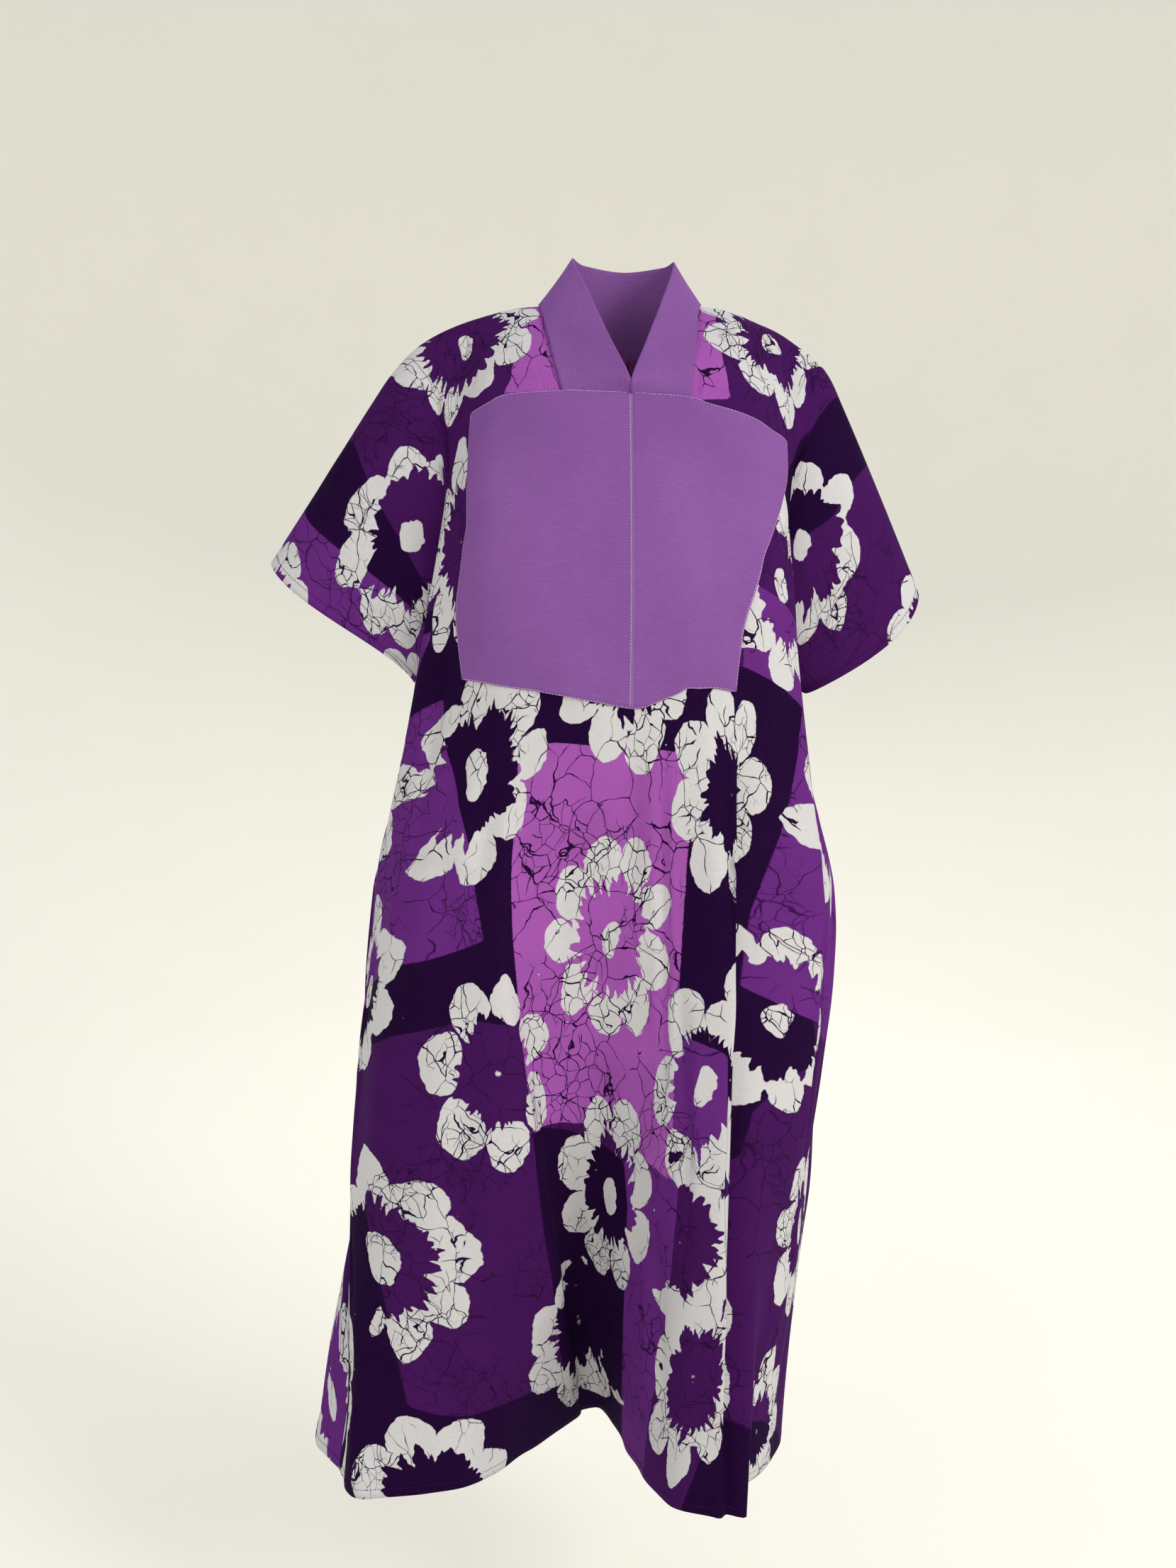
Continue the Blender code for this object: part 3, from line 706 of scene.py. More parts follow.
DARK, PLUM, VIOLET = (0.0125, 0.0011, 0.0280), (0.0490, 0.0058, 0.0850), (0.1180, 0.0200, 0.1900)
ORCHID, WHITE = (0.3250, 0.0830, 0.3850), (0.580, 0.570, 0.592)
CRACK = (0.0160, 0.0020, 0.0300)
CRACK_NETS = (
    # scale, half width, shown above, more on orchid
    (31.0, 0.0125, 0.40, 0.10),
    (66.0, 0.0200, 0.52, 0.04),
    (118.0, 0.0240, 0.64, -0.08),
)
CRACK_STRETCH = (1.2, 0.75, 1.0)  # they run more down the cloth than across it
CRACK_BEND, CRACK_QUIVER = (24, 0.026), (170, 0.0017)  # scale of the noise that bends them, and how far
HALF = (0.5, 0.5, 0.5)  # the middle of a noise's colour

# How a flower is drawn, in its own radius. Pairs of least and chance add a share of chance to the least.
SLOW, SLOW_WARP = 20, 0.26  # scale of the noise that bends it, and how far
QUICK, QUICK_WARP = 120, 0.06
PETAL_OUT, PETAL_OUT_CHANCE = 0.69, 0.12  # the middle of a petal
PETAL_LONG, PETAL_LONG_CHANCE = 0.21, 0.10
PETAL_WIDE, PETAL_WIDE_CHANCE = 2.60, 1.10  # over the number of petals
PETAL_SOFT, RING_SOFT, TEETH_SOFT, CORE_SOFT = 0.04, 0.012, 0.008, 0.06  # half the width of each edge
TEETH, TEETH_SLOW, TEETH_DEEP = 8.5, 2.2, 0.40  # scales, and how deep they cut
TEETH_APART = 2.3  # keeps two flowers' teeth unlike
GAP_EDGE = (-0.002, -0.001)
CORE_ACROSS, CORE_DOWN = 52, 30  # more makes the middle smaller
DROPS, DROPS_OUT = 84.0, 1.12  # scale of the splashes, and how far out they reach

LILAC, LILAC_DEEP = (0.285, 0.118, 0.385), (0.190, 0.070, 0.283)
THREAD, HEM_THREAD = (0.640, 0.470, 0.700), (0.055, 0.010, 0.100)
RIB = 1.7 * MM
STAGE_PALE = (0.90, 0.885, 0.825)

# Noises that move an edge are given by their scale and how far they reach.
TONE_SLOW, TONE_QUICK, TONE_SOFT = (25, 3 * MM), (300, 1.4 * MM), 0.5 * MM  # edges of the dyed blocks
RIB_WANDER = (45, 2.2 * MM)
SLUB_STRETCH = (90.0, 1300.0, 1.0)  # long across the cloth and thin down it
HEM_SOFT, HEM_DENT, HEM_DENT_IN = 0.8 * MM, 1.6 * MM, 1.4 * MM
SEAM_DENT, EDGE_DENT = 3 * MM, 1.8 * MM
# From an edge of the ribbed cloth: where its painted highlight starts, and where it is full
EDGE_HIGHLIGHT_FROM, EDGE_HIGHLIGHT_TO = 2 * MM, 0.5 * MM
THREAD_STEP = 1.1 * MM  # from thread to thread across the ribbed cloth
COTTON_RELIEF, RIB_RELIEF, THREAD_RELIEF = 1.1 * MM, 0.42 * MM, 0.1 * MM


class Wire:
    """A value in a material, whose sums and products add nodes to it."""

    def __init__(self, looks, socket):
        self.looks, self.socket = looks, socket

    def __add__(self, other):
        return self.looks.math("ADD", self, other)

    def __sub__(self, other):
        return self.looks.math("SUBTRACT", self, other)

    def __mul__(self, other):
        return self.looks.math("MULTIPLY", self, other)

    def __truediv__(self, other):
        return self.looks.math("DIVIDE", self, other)

    def __lt__(self, other):
        return self.looks.math("LESS_THAN", self, other)

    def __rsub__(self, other):
        return self.looks.math("SUBTRACT", other, self)

    __radd__, __rmul__ = __add__, __mul__


class Looks:
    """A material and the ways of adding nodes to it."""

    def __init__(self, name, roughness):
        self.material = bpy.data.materials.new(name)
        self.material.use_nodes = True
        self.nodes, self.links = self.material.node_tree.nodes, self.material.node_tree.links
        self.surface = self.nodes["Principled BSDF"]
        self.surface.inputs["Roughness"].default_value = roughness
        self.surface.inputs["Specular IOR Level"].default_value = 0.05

    def feed(self, socket, value):
        if isinstance(value, Wire):
            self.links.new(value.socket, socket)
        elif isinstance(value, tuple) and len(value) == 3 and socket.type == "RGBA":
            socket.default_value = (*value, 1.0)
        else:
            socket.default_value = value

    def node(self, kind, inputs, output=0, **settings):
        """Adds a node with its settings and inputs, and gives its output."""
        made = self.nodes.new(f"ShaderNode{kind}")
        for name, value in settings.items():
            setattr(made, name, value)
        for key, value in dict(inputs).items():
            self.feed(made.inputs[key], value)
        return Wire(self, made.outputs[output])

    def math(self, operation, *values):
        return self.node("Math", enumerate(values), operation=operation)

    def vector_math(self, operation, *values):
        return self.node("VectorMath", enumerate(values), operation=operation)

    def mix(self, factor, below, above):
        return self.node("Mix", {0: factor, 6: below, 7: above}, 2, data_type="RGBA")

    def shade(self, colour, strength):
        """A colour made lighter or darker."""
        return self.node("VectorMath", {"Vector": colour, "Scale": strength}, operation="SCALE")

    def noise(self, place, scale, detail=1.0, output="Fac"):
        return self.node("TexNoise", {"Vector": place, "Scale": scale, "Detail": detail}, output)

    def uneven(self, place, scale, reach, detail=2):
        """Noise to either side of 0."""
        return (self.noise(place, scale, detail) - 0.5) * reach

    def step(self, value, low, high):
        """From 0 at low to 1 at high, smoothly."""
        inputs = {"Value": value, "From Min": low, "From Max": high}
        return self.node("MapRange", inputs, interpolation_type="SMOOTHSTEP")

    def attribute(self, name):
        return self.node("Attribute", {}, "Vector", attribute_name=name)

    def split(self, vector):
        apart = self.nodes.new("ShaderNodeSeparateXYZ")
        self.feed(apart.inputs[0], vector)
        return [Wire(self, output) for output in apart.outputs]

    def join(self, x, y, z):
        return self.node("CombineXYZ", {0: x, 1: y, 2: z})

    def bump(self, height, distance):
        made = self.node("Bump", {"Height": height, "Distance": distance}, "Normal")
        self.feed(self.surface.inputs["Normal"], made)

    def colour(self, value):
        self.feed(self.surface.inputs["Base Color"], value)


def petals(looks, place, rank):
    """1 on the white petals, middles and splashes of one rank of flowers, and 0 elsewhere."""
    across, down, seed = looks.split(looks.attribute("bloom" + rank))
    count, turn, middle = looks.split(looks.attribute("petal" + rank))
    gap, gap_width, ring = looks.split(looks.attribute("gap" + rank))
    _, full, hollow = looks.split(looks.attribute("form" + rank))
    count, seed = looks.math("ROUND", count), looks.math("ROUND", seed)
    slow_x, slow_y, _ = looks.split(looks.noise(place, SLOW, 1, "Color"))
    quick_x, quick_y, _ = looks.split(looks.noise(place, QUICK, 1, "Color"))
    x = across + (slow_x - 0.5) * SLOW_WARP + (quick_x - 0.5) * QUICK_WARP
    y = down + (slow_y - 0.5) * SLOW_WARP + (quick_y - 0.5) * QUICK_WARP
    far = looks.math("SQRT", x * x + y * y)
    angle = looks.math("ARCTAN2", y, x) / TURN
    number = looks.math("ROUND", angle * count + turn)
    aside = (angle * count + turn - number) * TURN / count * far
    which = looks.join(looks.math("FLOORED_MODULO", number, count), seed, 0.0)
    out, long, wide = looks.split(looks.node("TexWhiteNoise", {"Vector": which}, "Color"))

    centre = PETAL_OUT + out * PETAL_OUT_CHANCE
    reach = PETAL_LONG + long * PETAL_LONG_CHANCE
    half = centre / count * (PETAL_WIDE + wide * PETAL_WIDE_CHANCE) * full
    along, over = (far - centre) / reach, aside / half
    blob = looks.step(along * along + over * over, 1 + PETAL_SOFT, 1 - PETAL_SOFT)
    filled = looks.step(far - ring, RING_SOFT, -RING_SOFT)
    round_it = looks.join(x / far, y / far, seed * TEETH_APART)
    teeth = looks.noise(round_it, TEETH, 0.3) + looks.uneven(round_it, TEETH_SLOW, 0.5, 0)
    inner = looks.step(far - hollow - (teeth - 0.5) * TEETH_DEEP, -TEETH_SOFT, TEETH_SOFT)
    away = looks.math("ABSOLUTE", angle - gap)
    away = looks.math("MINIMUM", away, 1.0 - away)
    kept = looks.step(away - gap_width * (1 + (slow_x - 0.5) * 1.2 + (quick_y - 0.5) * 0.2), *GAP_EDGE)
    core = x * x * CORE_ACROSS + y * y * CORE_DOWN + (quick_x - 0.5) * 0.5 - middle * middle
    core = looks.step(core, CORE_SOFT, -CORE_SOFT)
    drop_far, drop_draw = (
        looks.node("TexVoronoi", {"Vector": place, "Scale": DROPS}, output, feature="F1")
        for output in ("Distance", "Color")
    )
    size = looks.step(looks.split(drop_draw)[0], 0.80, 1.5) * 0.5
    drops = (drop_far < size) * (far < DROPS_OUT)
    ring_white = looks.math("MAXIMUM", blob, filled) * inner * kept
    return looks.math("MAXIMUM", looks.math("MAXIMUM", ring_white, core), drops)


def cracks(looks, place, white, orchid):
    """1 on the dark lines where the wax cracked, and 0 elsewhere."""
    bend = looks.vector_math("SUBTRACT", looks.noise(place, CRACK_BEND[0], 2, "Color"), HALF)
    quiver = looks.vector_math("SUBTRACT", looks.noise(place, CRACK_QUIVER[0], 1, "Color"), HALF)
    bent = looks.vector_math("MULTIPLY", place, CRACK_STRETCH)
    bent = looks.vector_math("ADD", bent, looks.shade(bend, CRACK_BEND[1]))
    bent = looks.vector_math("ADD", bent, looks.shade(quiver, CRACK_QUIVER[1]))
    patch, breaks = looks.noise(place, 11, 1), looks.noise(place, 40, 1)
    swell = 0.5 + looks.noise(place, 120, 1)
    found = None
    for scale, half, shown_above, more in CRACK_NETS:
        edge = looks.node("TexVoronoi", {"Vector": bent, "Scale": scale}, feature="DISTANCE_TO_EDGE")
        spread = patch + (breaks - 0.5) * 0.45 + white * 0.03 + orchid * more
        grown = looks.step(spread, shown_above, shown_above + 0.09)
        line = looks.step(edge - swell * grown * half, half * 0.25, -half * 0.25)
        line = line * looks.step(grown, 0.02, 0.15)
        found = line if found is None else looks.math("MAXIMUM", found, line)
    return found


def batik():
    """Plum cotton with dyed blocks, white flowers and crackle."""
    looks = Looks("batik_cotton", 0.86)
    place = looks.attribute("cloth")
    tones = looks.split(looks.attribute("tone"))
    wander = looks.uneven(place, *TONE_SLOW) + looks.uneven(place, *TONE_QUICK)
    violet, dark, orchid = (looks.step(tone + wander, -TONE_SOFT, TONE_SOFT) for tone in tones)
    dyed = looks.mix(violet, PLUM, VIOLET)
    dyed = looks.mix(dark, dyed, DARK)
    dyed = looks.mix(orchid, dyed, ORCHID)
    mottle = 0.80 + looks.noise(place, 24, 3) * 0.26 + looks.noise(place, 420, 2) * 0.14
    dyed = looks.shade(dyed, mottle)
    white = looks.math("MAXIMUM", *(petals(looks, place, rank) for rank in FLOWER_RANKS))
    pale = looks.shade(WHITE, 0.90 + looks.noise(place, 300, 4) * 0.18)
    shown = looks.mix(white, dyed, pale)
    strength = looks.math("MAXIMUM", white, 0.80 + orchid * 0.2)
    shown = looks.mix(cracks(looks, place, white, orchid) * strength, shown, CRACK)
    looks.colour(shown)

    hem, cuff, seam = looks.split(looks.attribute("edge"))
    fold = looks.math("MINIMUM", hem, cuff)
    turned = looks.step(fold, HEM_TURN + HEM_SOFT, HEM_TURN - HEM_SOFT) * 0.5
    sewn = looks.step(looks.math("ABSOLUTE", fold - HEM_TURN + HEM_DENT_IN), HEM_DENT, 0.0) * 0.35
    joint = looks.step(seam, SEAM_DENT, 0.0) * 0.5
    grain = looks.noise(place, 1500, 1) * 0.10 + looks.noise(place, 150, 3) * 0.45
    looks.bump(grain + turned - sewn - joint, COTTON_RELIEF)
    return looks.material


def ribbed():
    """Lilac cloth with fine ribs across it, painted lighter along its edges as a highlight where its folded
    edges catch the light.
    """
    looks = Looks("ribbed_lilac", 0.78)
    weave = looks.attribute("weave")
    across, down, edge = looks.split(weave)
    phase = (down + looks.uneven(weave, *RIB_WANDER)) * (TURN / RIB)
    rib = looks.math("SINE", phase) * 0.5 + 0.5
    slub = looks.noise(looks.vector_math("MULTIPLY", weave, SLUB_STRETCH), 1.0, 2)
    blotch = looks.noise(weave, 9, 2)
    plain = 0.30 + looks.noise(weave, 7, 1) * 0.75
    tone = looks.mix(rib * plain + (slub - 0.5) * 0.7, LILAC_DEEP, LILAC)
    tone = looks.shade(tone, 0.86 + blotch * 0.26 + looks.noise(weave, 600, 2) * 0.06)
    # Painted highlight: within 2 mm of its edges the cloth is mixed toward the pale thread colour, where the
    # folded edges catch the light
    edge_highlight = looks.step(edge, EDGE_HIGHLIGHT_FROM, EDGE_HIGHLIGHT_TO) * 0.22
    looks.colour(looks.mix(edge_highlight, tone, THREAD))
    sewn = looks.step(looks.math("ABSOLUTE", edge - EDGE_SETS), EDGE_DENT, 0.0)
    threads = looks.math("SINE", across * (TURN / THREAD_STEP)) * 0.12
    looks.bump(rib * 0.5 + threads + slub * 0.3 - sewn * 0.55, RIB_RELIEF)
    return looks.material


def thread(name, colour, patchy):
    """Sewing thread with a little sheen."""
    looks = Looks(name, 0.6)
    spot = looks.node("TexCoord", {}, "Object")
    looks.colour(looks.shade(colour, 1 - patchy / 2 + looks.noise(spot, 500, 2) * patchy))
    looks.bump(looks.noise(spot, 2500, 1), THREAD_RELIEF)
    return looks.material


# ---------------------------------------------------------------- bib and neck band

BIB_THICK, BAND_THICK = 1.2 * MM, 1.6 * MM
BIB_LIFT, BIB_EDGE_LIFT, BAND_LIFT = 2.4 * MM, 1.5 * MM, 3.1 * MM  # from the middle of the cloth's wall
BIB_SEAM = 0.10 * MM  # half the parting of the two halves
BIB_COLUMNS, BIB_ROWS = 62, 116
LATTICE_COLUMNS, LATTICE_ROWS = 8, 14
BIB_TALL = 0.28  # about how tall it is, for what fades towards its edges
BIB_RIM = 4 * MM  # from its edges to where it has its full lift
BIB_PUCKER, PUCKER_LENGTHS, PUCKER_HEIGHT = 0.55 * MM, (0.03, 0.12), 0.22  # height as a share of the pucker
BAND_COLUMNS, BAND_ROWS = 16, 26  # columns to each row of its table
BAND_TUCK, BAND_TUCK_LIFT, BAND_TUCK_SOON = 9 * MM, 1.3 * MM, 1.6  # its front ends go under the bib
BAND_PLAIN = 20 * MM  # keeps its edges free of the painted highlight and the marks of sewing
BIB_OVER_BAND = 2.2 * MM  # how much higher the bib lies there
OVER_DOWN, OVER_OUT, OVER_FADE = 16 * MM, 66 * MM, 12 * MM  # how far down and out it does, and its fading
EDGE_SETS = 1.3 * MM  # from an edge to its stitching


class Strip:
    """A small piece on a grid: its points, its unit normals, and how far each lies across and down it."""

    def __init__(self, points):
        self.points = points
        self.shape = points.shape[:2]
        across, down = np.gradient(points, axis=1), np.gradient(points, axis=0)
        self.out = unit(np.cross(across, down))
        self.across = self.lengths(points, 1)
        self.down = self.lengths(points, 0)

    @staticmethod
    def lengths(points, axis):
        steps = np.linalg.norm(np.diff(points, axis=axis), axis=2)
        start = np.zeros_like(np.take(steps, [0], axis=axis))
        return np.cumsum(np.concatenate([start, steps], axis=axis), axis=axis)

    def edge(self):
        """Distance to the nearest edge."""
        right, foot = self.across[:, -1:] - self.across, self.down[-1:] - self.down
        return np.minimum.reduce([self.across, right, self.down, foot])

    def piece(self, name, node, thickness, plain=0.0):
        """The piece as a closed shell. Plain is added to each place's distance from the edges, which carry a
        painted highlight and stitching dents.
        """
        rows, columns = self.shape
        piece, order = grid_piece(name, self.points.reshape(-1, 3), columns - 1, rows - 1)
        weave = np.stack([self.across, self.down, self.edge() + plain], axis=-1).reshape(-1, 3)
        set_vectors(piece, "weave", "POINT", weave[order])
        thicken(piece, thickness)
        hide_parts(node)
        return piece

    def line(self, rows, columns):
        """Points and normals along a line through the grid, given by its rows and columns as fractions."""
        rows, columns = np.broadcast_arrays(np.asarray(rows, float), np.asarray(columns, float))
        return [bilinear(values, rows, columns) for values in (self.points, self.out)]

    def inset(self, distance, edge, count=240):
        """A line inside one edge, by the given distance."""
        upright = edge in ("left", "right")
        along, inward = (0, 1) if upright else (1, 0)
        last = [n - 1 for n in self.shape]
        end = distance / (self.down[-1, 0] if upright else self.across[0, -1])
        size = self.across[:, -1] if upright else self.down[-1]
        at = np.linspace(end, 1 - end, count) * last[along]
        aside = np.interp(at, np.arange(last[along] + 1), distance / size * last[inward])
        if edge in ("right", "bottom"):
            aside = last[inward] - aside
        return self.line(at, aside) if upright else self.line(aside, at)


def bilinear(values, rows, columns):
    """Values of a grid read between its points."""
    top, left = np.floor(rows).astype(int), np.floor(columns).astype(int)
    top, left = np.clip(top, 0, values.shape[0] - 2), np.clip(left, 0, values.shape[1] - 2)
    down, right = (rows - top)[..., None], (columns - left)[..., None]
    upper = values[top, left] * (1 - right) + values[top, left + 1] * right
    lower = values[top + 1, left] * (1 - right) + values[top + 1, left + 1] * right
    return upper * (1 - down) + lower * down


def bib_half(front, side):
    """Half of the bib, from the centre seam to its outer edge, on the front cloth."""
    share = np.linspace(0, 1, LATTICE_ROWS + 1)[:, None]
    way = np.linspace(0, 1, LATTICE_COLUMNS + 1)
    sides = np.array(BIB_SIDES)
    edge = np.interp(share, sides[:, 0], sides[:, 1 if side < 0 else 2]) * MM
    seam = side * BIB_SEAM
    cloth = seam + (edge - seam) * way
    top, foot = bib_ends(cloth)
    z = top + (foot - top) * share
    fold, level = (each.reshape(z.shape) for each in front.find(cloth.ravel(), z.ravel()))

    rows = np.linspace(0, LATTICE_ROWS, BIB_ROWS + 1)
    columns = np.linspace(0, LATTICE_COLUMNS, BIB_COLUMNS + 1)
    fold, level = (spline(spline(each, rows).T, columns).T for each in (fold, level))
    down, out = np.meshgrid(rows / LATTICE_ROWS, columns / LATTICE_COLUMNS, indexing="ij")
    wide = abs(edge.mean())
    near = np.minimum.reduce([down * BIB_TALL, (1 - down) * BIB_TALL, (1 - out) * wide])
    rim = np.clip(near / BIB_RIM, 0, 1)
    lift = BIB_EDGE_LIFT + (BIB_LIFT - BIB_EDGE_LIFT) * rim * (2 - rim)
    puckers = waves(out * wide * side, down * BIB_TALL, 23, 12, PUCKER_LENGTHS, lambda length: PUCKER_HEIGHT)
    lift = lift + BIB_PUCKER * rim * (1 + np.clip(puckers, -1, 1))
    over = np.clip(1 - down * BIB_TALL / OVER_DOWN, 0, 1)
    over = over * np.clip((OVER_OUT - out * wide) / OVER_FADE, 0, 1)
    lift = lift + BIB_OVER_BAND * over
    points = front.lifted(fold.ravel(), level.ravel(), lift.ravel()).reshape(*lift.shape, 3)
    half = Strip(points[:, ::-1] if side < 0 else points)
    half.out = -half.out
    return half


def neck_band(panels):
    """The band round the neck, from its left front end round the back to its right front end."""
    feet = [panels[panel].lifted(*panels[panel].find(cloth * MM, z * MM), BAND_LIFT)[0]
            for _, panel, cloth, z, *_ in BAND]
    tops = np.array([row[4:] for row in BAND]) * MM
    at = np.linspace(0, len(BAND) - 1, (len(BAND) - 1) * BAND_COLUMNS + 1)
    foot, top = spline(feet, at), spline(tops, at)
    way = np.linspace(0, 1, BAND_ROWS + 1)
    points = top + (foot - top) * way[:, None, None]
    for end, near in ((0, 1 - at), (-1, 1 - at[::-1])):
        _, panel, cloth, z, x, _, top_z = BAND[end]
        spot = panels[panel].find((x + (cloth - x) * way) * MM, (top_z + (z - top_z) * way) * MM - BAND_TUCK)
        under = panels[panel].lifted(*spot, BAND_TUCK_LIFT) - points[:, end]
        near = np.clip(near * BAND_TUCK_SOON, 0, 1)
        points = points + under[:, None] * (near * near * (3 - 2 * near))[:, None]
    return Strip(points)


# ---------------------------------------------------------------- sewing

STITCH_STEP, STITCH_LONG, STITCH_WIDE, STITCH_HIGH = 3.0 * MM, 2.1 * MM, 0.65 * MM, 0.40 * MM
HEM_SEWING, BIB_SEWING = (0.5 * MM, 0.15 * MM), (0.7 * MM, 0.10 * MM)  # height over the cloth, and wander
STITCH_UNEVEN, STITCH_LEAN = 0.12, 0.08  # of the step, and of a stitch's length


def stitches(name, lines, lift, wander, finish):
    """Running stitches along lines of points and normals, each one a small grain of thread."""
    draw = np.random.default_rng(len(name))
    sewn = bmesh.new()
    mesh = bpy.data.meshes.new(name)
    for points, out in lines:
        line = bmesh.new()
        far = np.concatenate([[0], np.cumsum(np.linalg.norm(np.diff(points, axis=0), axis=1))])
        spots = np.arange(STITCH_STEP, far[-1] - STITCH_STEP, STITCH_STEP)
        spots = spots + draw.uniform(-STITCH_UNEVEN, STITCH_UNEVEN, len(spots)) * STITCH_STEP
        place, up = (np.stack([np.interp(spots, far, each) for each in values.T], axis=1)
                     for values in (points, out))
        ahead = np.stack([np.interp(spots + MM, far, each) for each in points.T], axis=1)
        along = unit(ahead - place)
        aside = unit(np.cross(up, along))
        for middle, run, across in zip(place, along, aside):
            rise = np.cross(run, across)
            lean = run + across * draw.uniform(-STITCH_LEAN, STITCH_LEAN)
            turn = Matrix([*zip(lean * STITCH_LONG / 2, across * STITCH_WIDE / 2, rise * STITCH_HIGH)])
            spot = middle + rise * lift + across * draw.normal(0, wander)
            matrix = Matrix.Translation(spot) @ turn.to_4x4()
            bmesh.ops.create_uvsphere(line, u_segments=6, v_segments=3, radius=1.0, matrix=matrix)
        line.to_mesh(mesh)
        line.free()
        sewn.from_mesh(mesh)
    sewn.to_mesh(mesh)
    sewn.free()
    piece = add_piece(name, mesh)
    mesh.materials.append(finish)
    return piece


def hem_line(weave):
    """The line of stitching above a panel's hem, as points and normals."""
    hem = weave.edges()[..., 0]
    rows = np.arange(weave.shape[0])
    at = np.array([np.interp(-HEM_SEWN, -column, rows) for column in hem.T])
    columns = np.arange(weave.shape[1])
    return bilinear(weave.points, at, columns), bilinear(weave.normals(), at, columns)


def cuff_lines(weave):
    """The lines of stitching inside a panel's two cuffs."""
    found = []
    top = np.arange(2, YOKE_STEPS - 1)
    for reach in (weave.cloth - weave.cloth[:, :1], (weave.cloth[:, -1:] - weave.cloth)[:, ::-1]):
        at = np.array([np.interp(HEM_SEWN, row, np.arange(len(row))) for row in reach[top]])
        if found:
            at = weave.shape[1] - 1 - at
        found.append((bilinear(weave.points, top, at), bilinear(weave.normals(), top, at)))
    return found


def bib_lines(halves):
    """Stitching round the bib and down its centre seam."""
    left, right = halves
    found = [half.inset(EDGE_SETS, edge) for half in halves for edge in ("top", "bottom")]
    found += [left.inset(EDGE_SETS, "left"), right.inset(EDGE_SETS, "right")]
    return found + [left.inset(EDGE_SETS, "right")]


# ---------------------------------------------------------------- stage

FLOOR_Z = -1.46
BOWL_FLAT, BOWL_CURVE, BOWL_TOP = 2.6, 2.4, 3.2  # floor radius, curve radius and wall height
BOWL_RINGS, BOWL_SIDES = 13, 72
LIGHTS = (
    # name, x, y, z, width, height, watts, colour
    ("key", 2.7, -2.2, 1.3, 1.6, 1.6, 78, (1.0, 0.97, 0.92)),
    ("fill", -2.3, -2.4, 0.3, 2.0, 2.2, 16, (0.93, 0.96, 1.0)),
    ("rim", 0.3, 2.8, 1.7, 2.4, 1.6, 56, (1.0, 0.98, 0.95)),
)
CAMERA_PLACE, CAMERA_TILT, CAMERA_LENS = (-0.04, -1.6, -0.254), 82, 35.8
AIM = (-0.03, 0.0, -0.55)  # what the lights point at
SKY, SKY_STRENGTH = (0.95, 0.97, 1.0, 1.0), 0.62


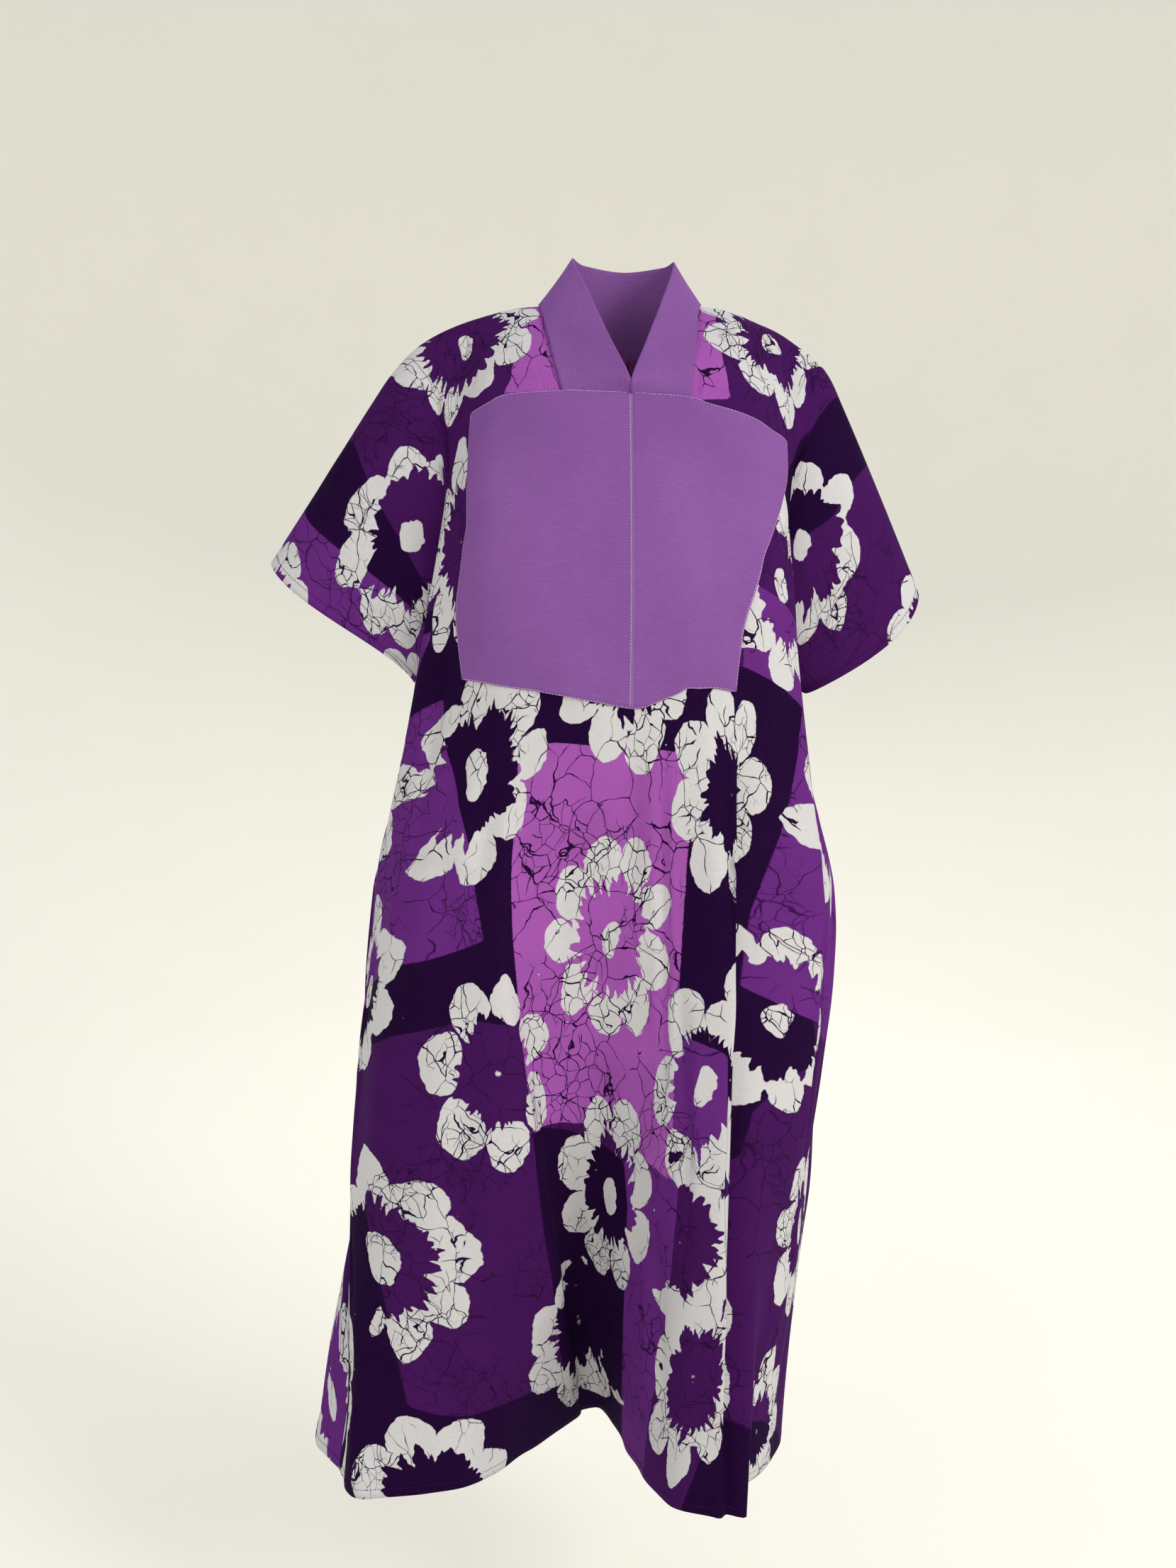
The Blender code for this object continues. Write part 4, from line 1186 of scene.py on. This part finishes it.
def stage():
    """A pale floor that curves up into a round wall, soft lights, and a camera at chest height."""
    profile = [(0.0, FLOOR_Z), (BOWL_FLAT / 2, FLOOR_Z)]
    for turn in np.linspace(0, math.pi / 2, BOWL_RINGS):
        out = BOWL_FLAT + BOWL_CURVE * math.sin(turn)
        profile.append((out, FLOOR_Z + BOWL_CURVE * (1 - math.cos(turn))))
    profile.append((BOWL_FLAT + BOWL_CURVE, BOWL_TOP))
    bowl = bmesh.new()
    points = [bowl.verts.new((out, 0, z)) for out, z in profile]
    edges = [bowl.edges.new(pair) for pair in zip(points, points[1:])]
    bmesh.ops.spin(bowl, geom=points + edges, cent=(0, 0, 0), axis=(0, 0, 1), angle=TURN, steps=BOWL_SIDES)
    bmesh.ops.remove_doubles(bowl, verts=bowl.verts, dist=0.001)
    bmesh.ops.recalc_face_normals(bowl, faces=bowl.faces)
    mesh = bpy.data.meshes.new("floor")
    bowl.to_mesh(mesh)
    bowl.free()
    mesh.polygons.foreach_set("use_smooth", [True] * len(mesh.polygons))
    floor = put("floor", mesh)
    looks = Looks("studio_floor", 0.9)
    spot = looks.node("TexCoord", {}, "Object")
    looks.colour(looks.shade(STAGE_PALE, 0.98 + looks.noise(spot, 3, 2) * 0.03))
    mesh.materials.append(looks.material)

    for name, x, y, z, width, height, watts, colour in LIGHTS:
        light = bpy.data.lights.new(name, "AREA")
        light.shape, light.size, light.size_y = "RECTANGLE", width, height
        light.energy, light.color = watts, colour
        lamp = put(name, light)
        lamp.location = (x, y, z)
        lamp.rotation_euler = (Vector(AIM) - lamp.location).to_track_quat("-Z", "Y").to_euler()

    world = bpy.data.worlds.new("studio")
    world.use_nodes = True
    sky = world.node_tree.nodes["Background"]
    sky.inputs["Color"].default_value = SKY
    sky.inputs["Strength"].default_value = SKY_STRENGTH
    scene = bpy.context.scene
    scene.world = world
    scene.view_settings.view_transform = "Standard"
    camera = put("camera", bpy.data.cameras.new("camera"))
    camera.data.lens = CAMERA_LENS
    camera.location = CAMERA_PLACE
    camera.rotation_euler = (math.radians(CAMERA_TILT), 0, 0)
    scene.camera = camera


def main():
    """Builds the robe's pieces and sets the stage."""
    front, back = Panel(FRONT_FOLDS, -1), Panel(BACK_FOLDS, 1)
    weaves = [Weave("front", front, FRONT_NECK), Weave("back", back, BACK_NECK)]
    cotton, lilac = batik(), ribbed()
    light, dull = thread("sewing_thread", THREAD, 0.3), thread("hem_thread", HEM_THREAD, 0.4)
    fabrics = [weave.piece("batik_cotton") for weave in weaves]
    halves = [bib_half(front, -1), bib_half(front, 1)]
    bibs = [half.piece(f"bib_{side}_cloth", f"bib_{side}", BIB_THICK)
            for half, side in zip(halves, ("left", "right"))]
    band = neck_band({"front": front, "back": back})
    collar = band.piece("neck_band_cloth", "neck_band", BAND_THICK, BAND_PLAIN)
    for piece, finish in [(each, cotton) for each in fabrics] + [(each, lilac) for each in (*bibs, collar)]:
        piece.data.materials.append(finish)
    hems = stitches("hem_stitching", [hem_line(weave) for weave in weaves], *HEM_SEWING, dull)
    cuffs = stitches("cuff_stitching", [line for weave in weaves for line in cuff_lines(weave)],
                     *HEM_SEWING, dull)
    stitches("bib_stitching", bib_lines(halves), *BIB_SEWING, light)

    for piece, weave, more in zip(fabrics, weaves, ([hems, cuffs], [])):
        wide, tall = np.ptp(weave.cloth), weave.drop.max()
        weave.area()
    for piece, strip in [*zip(bibs, halves), (collar, band)]:
        wide, tall = strip.across.max(), strip.down.max()
    stage()


main()
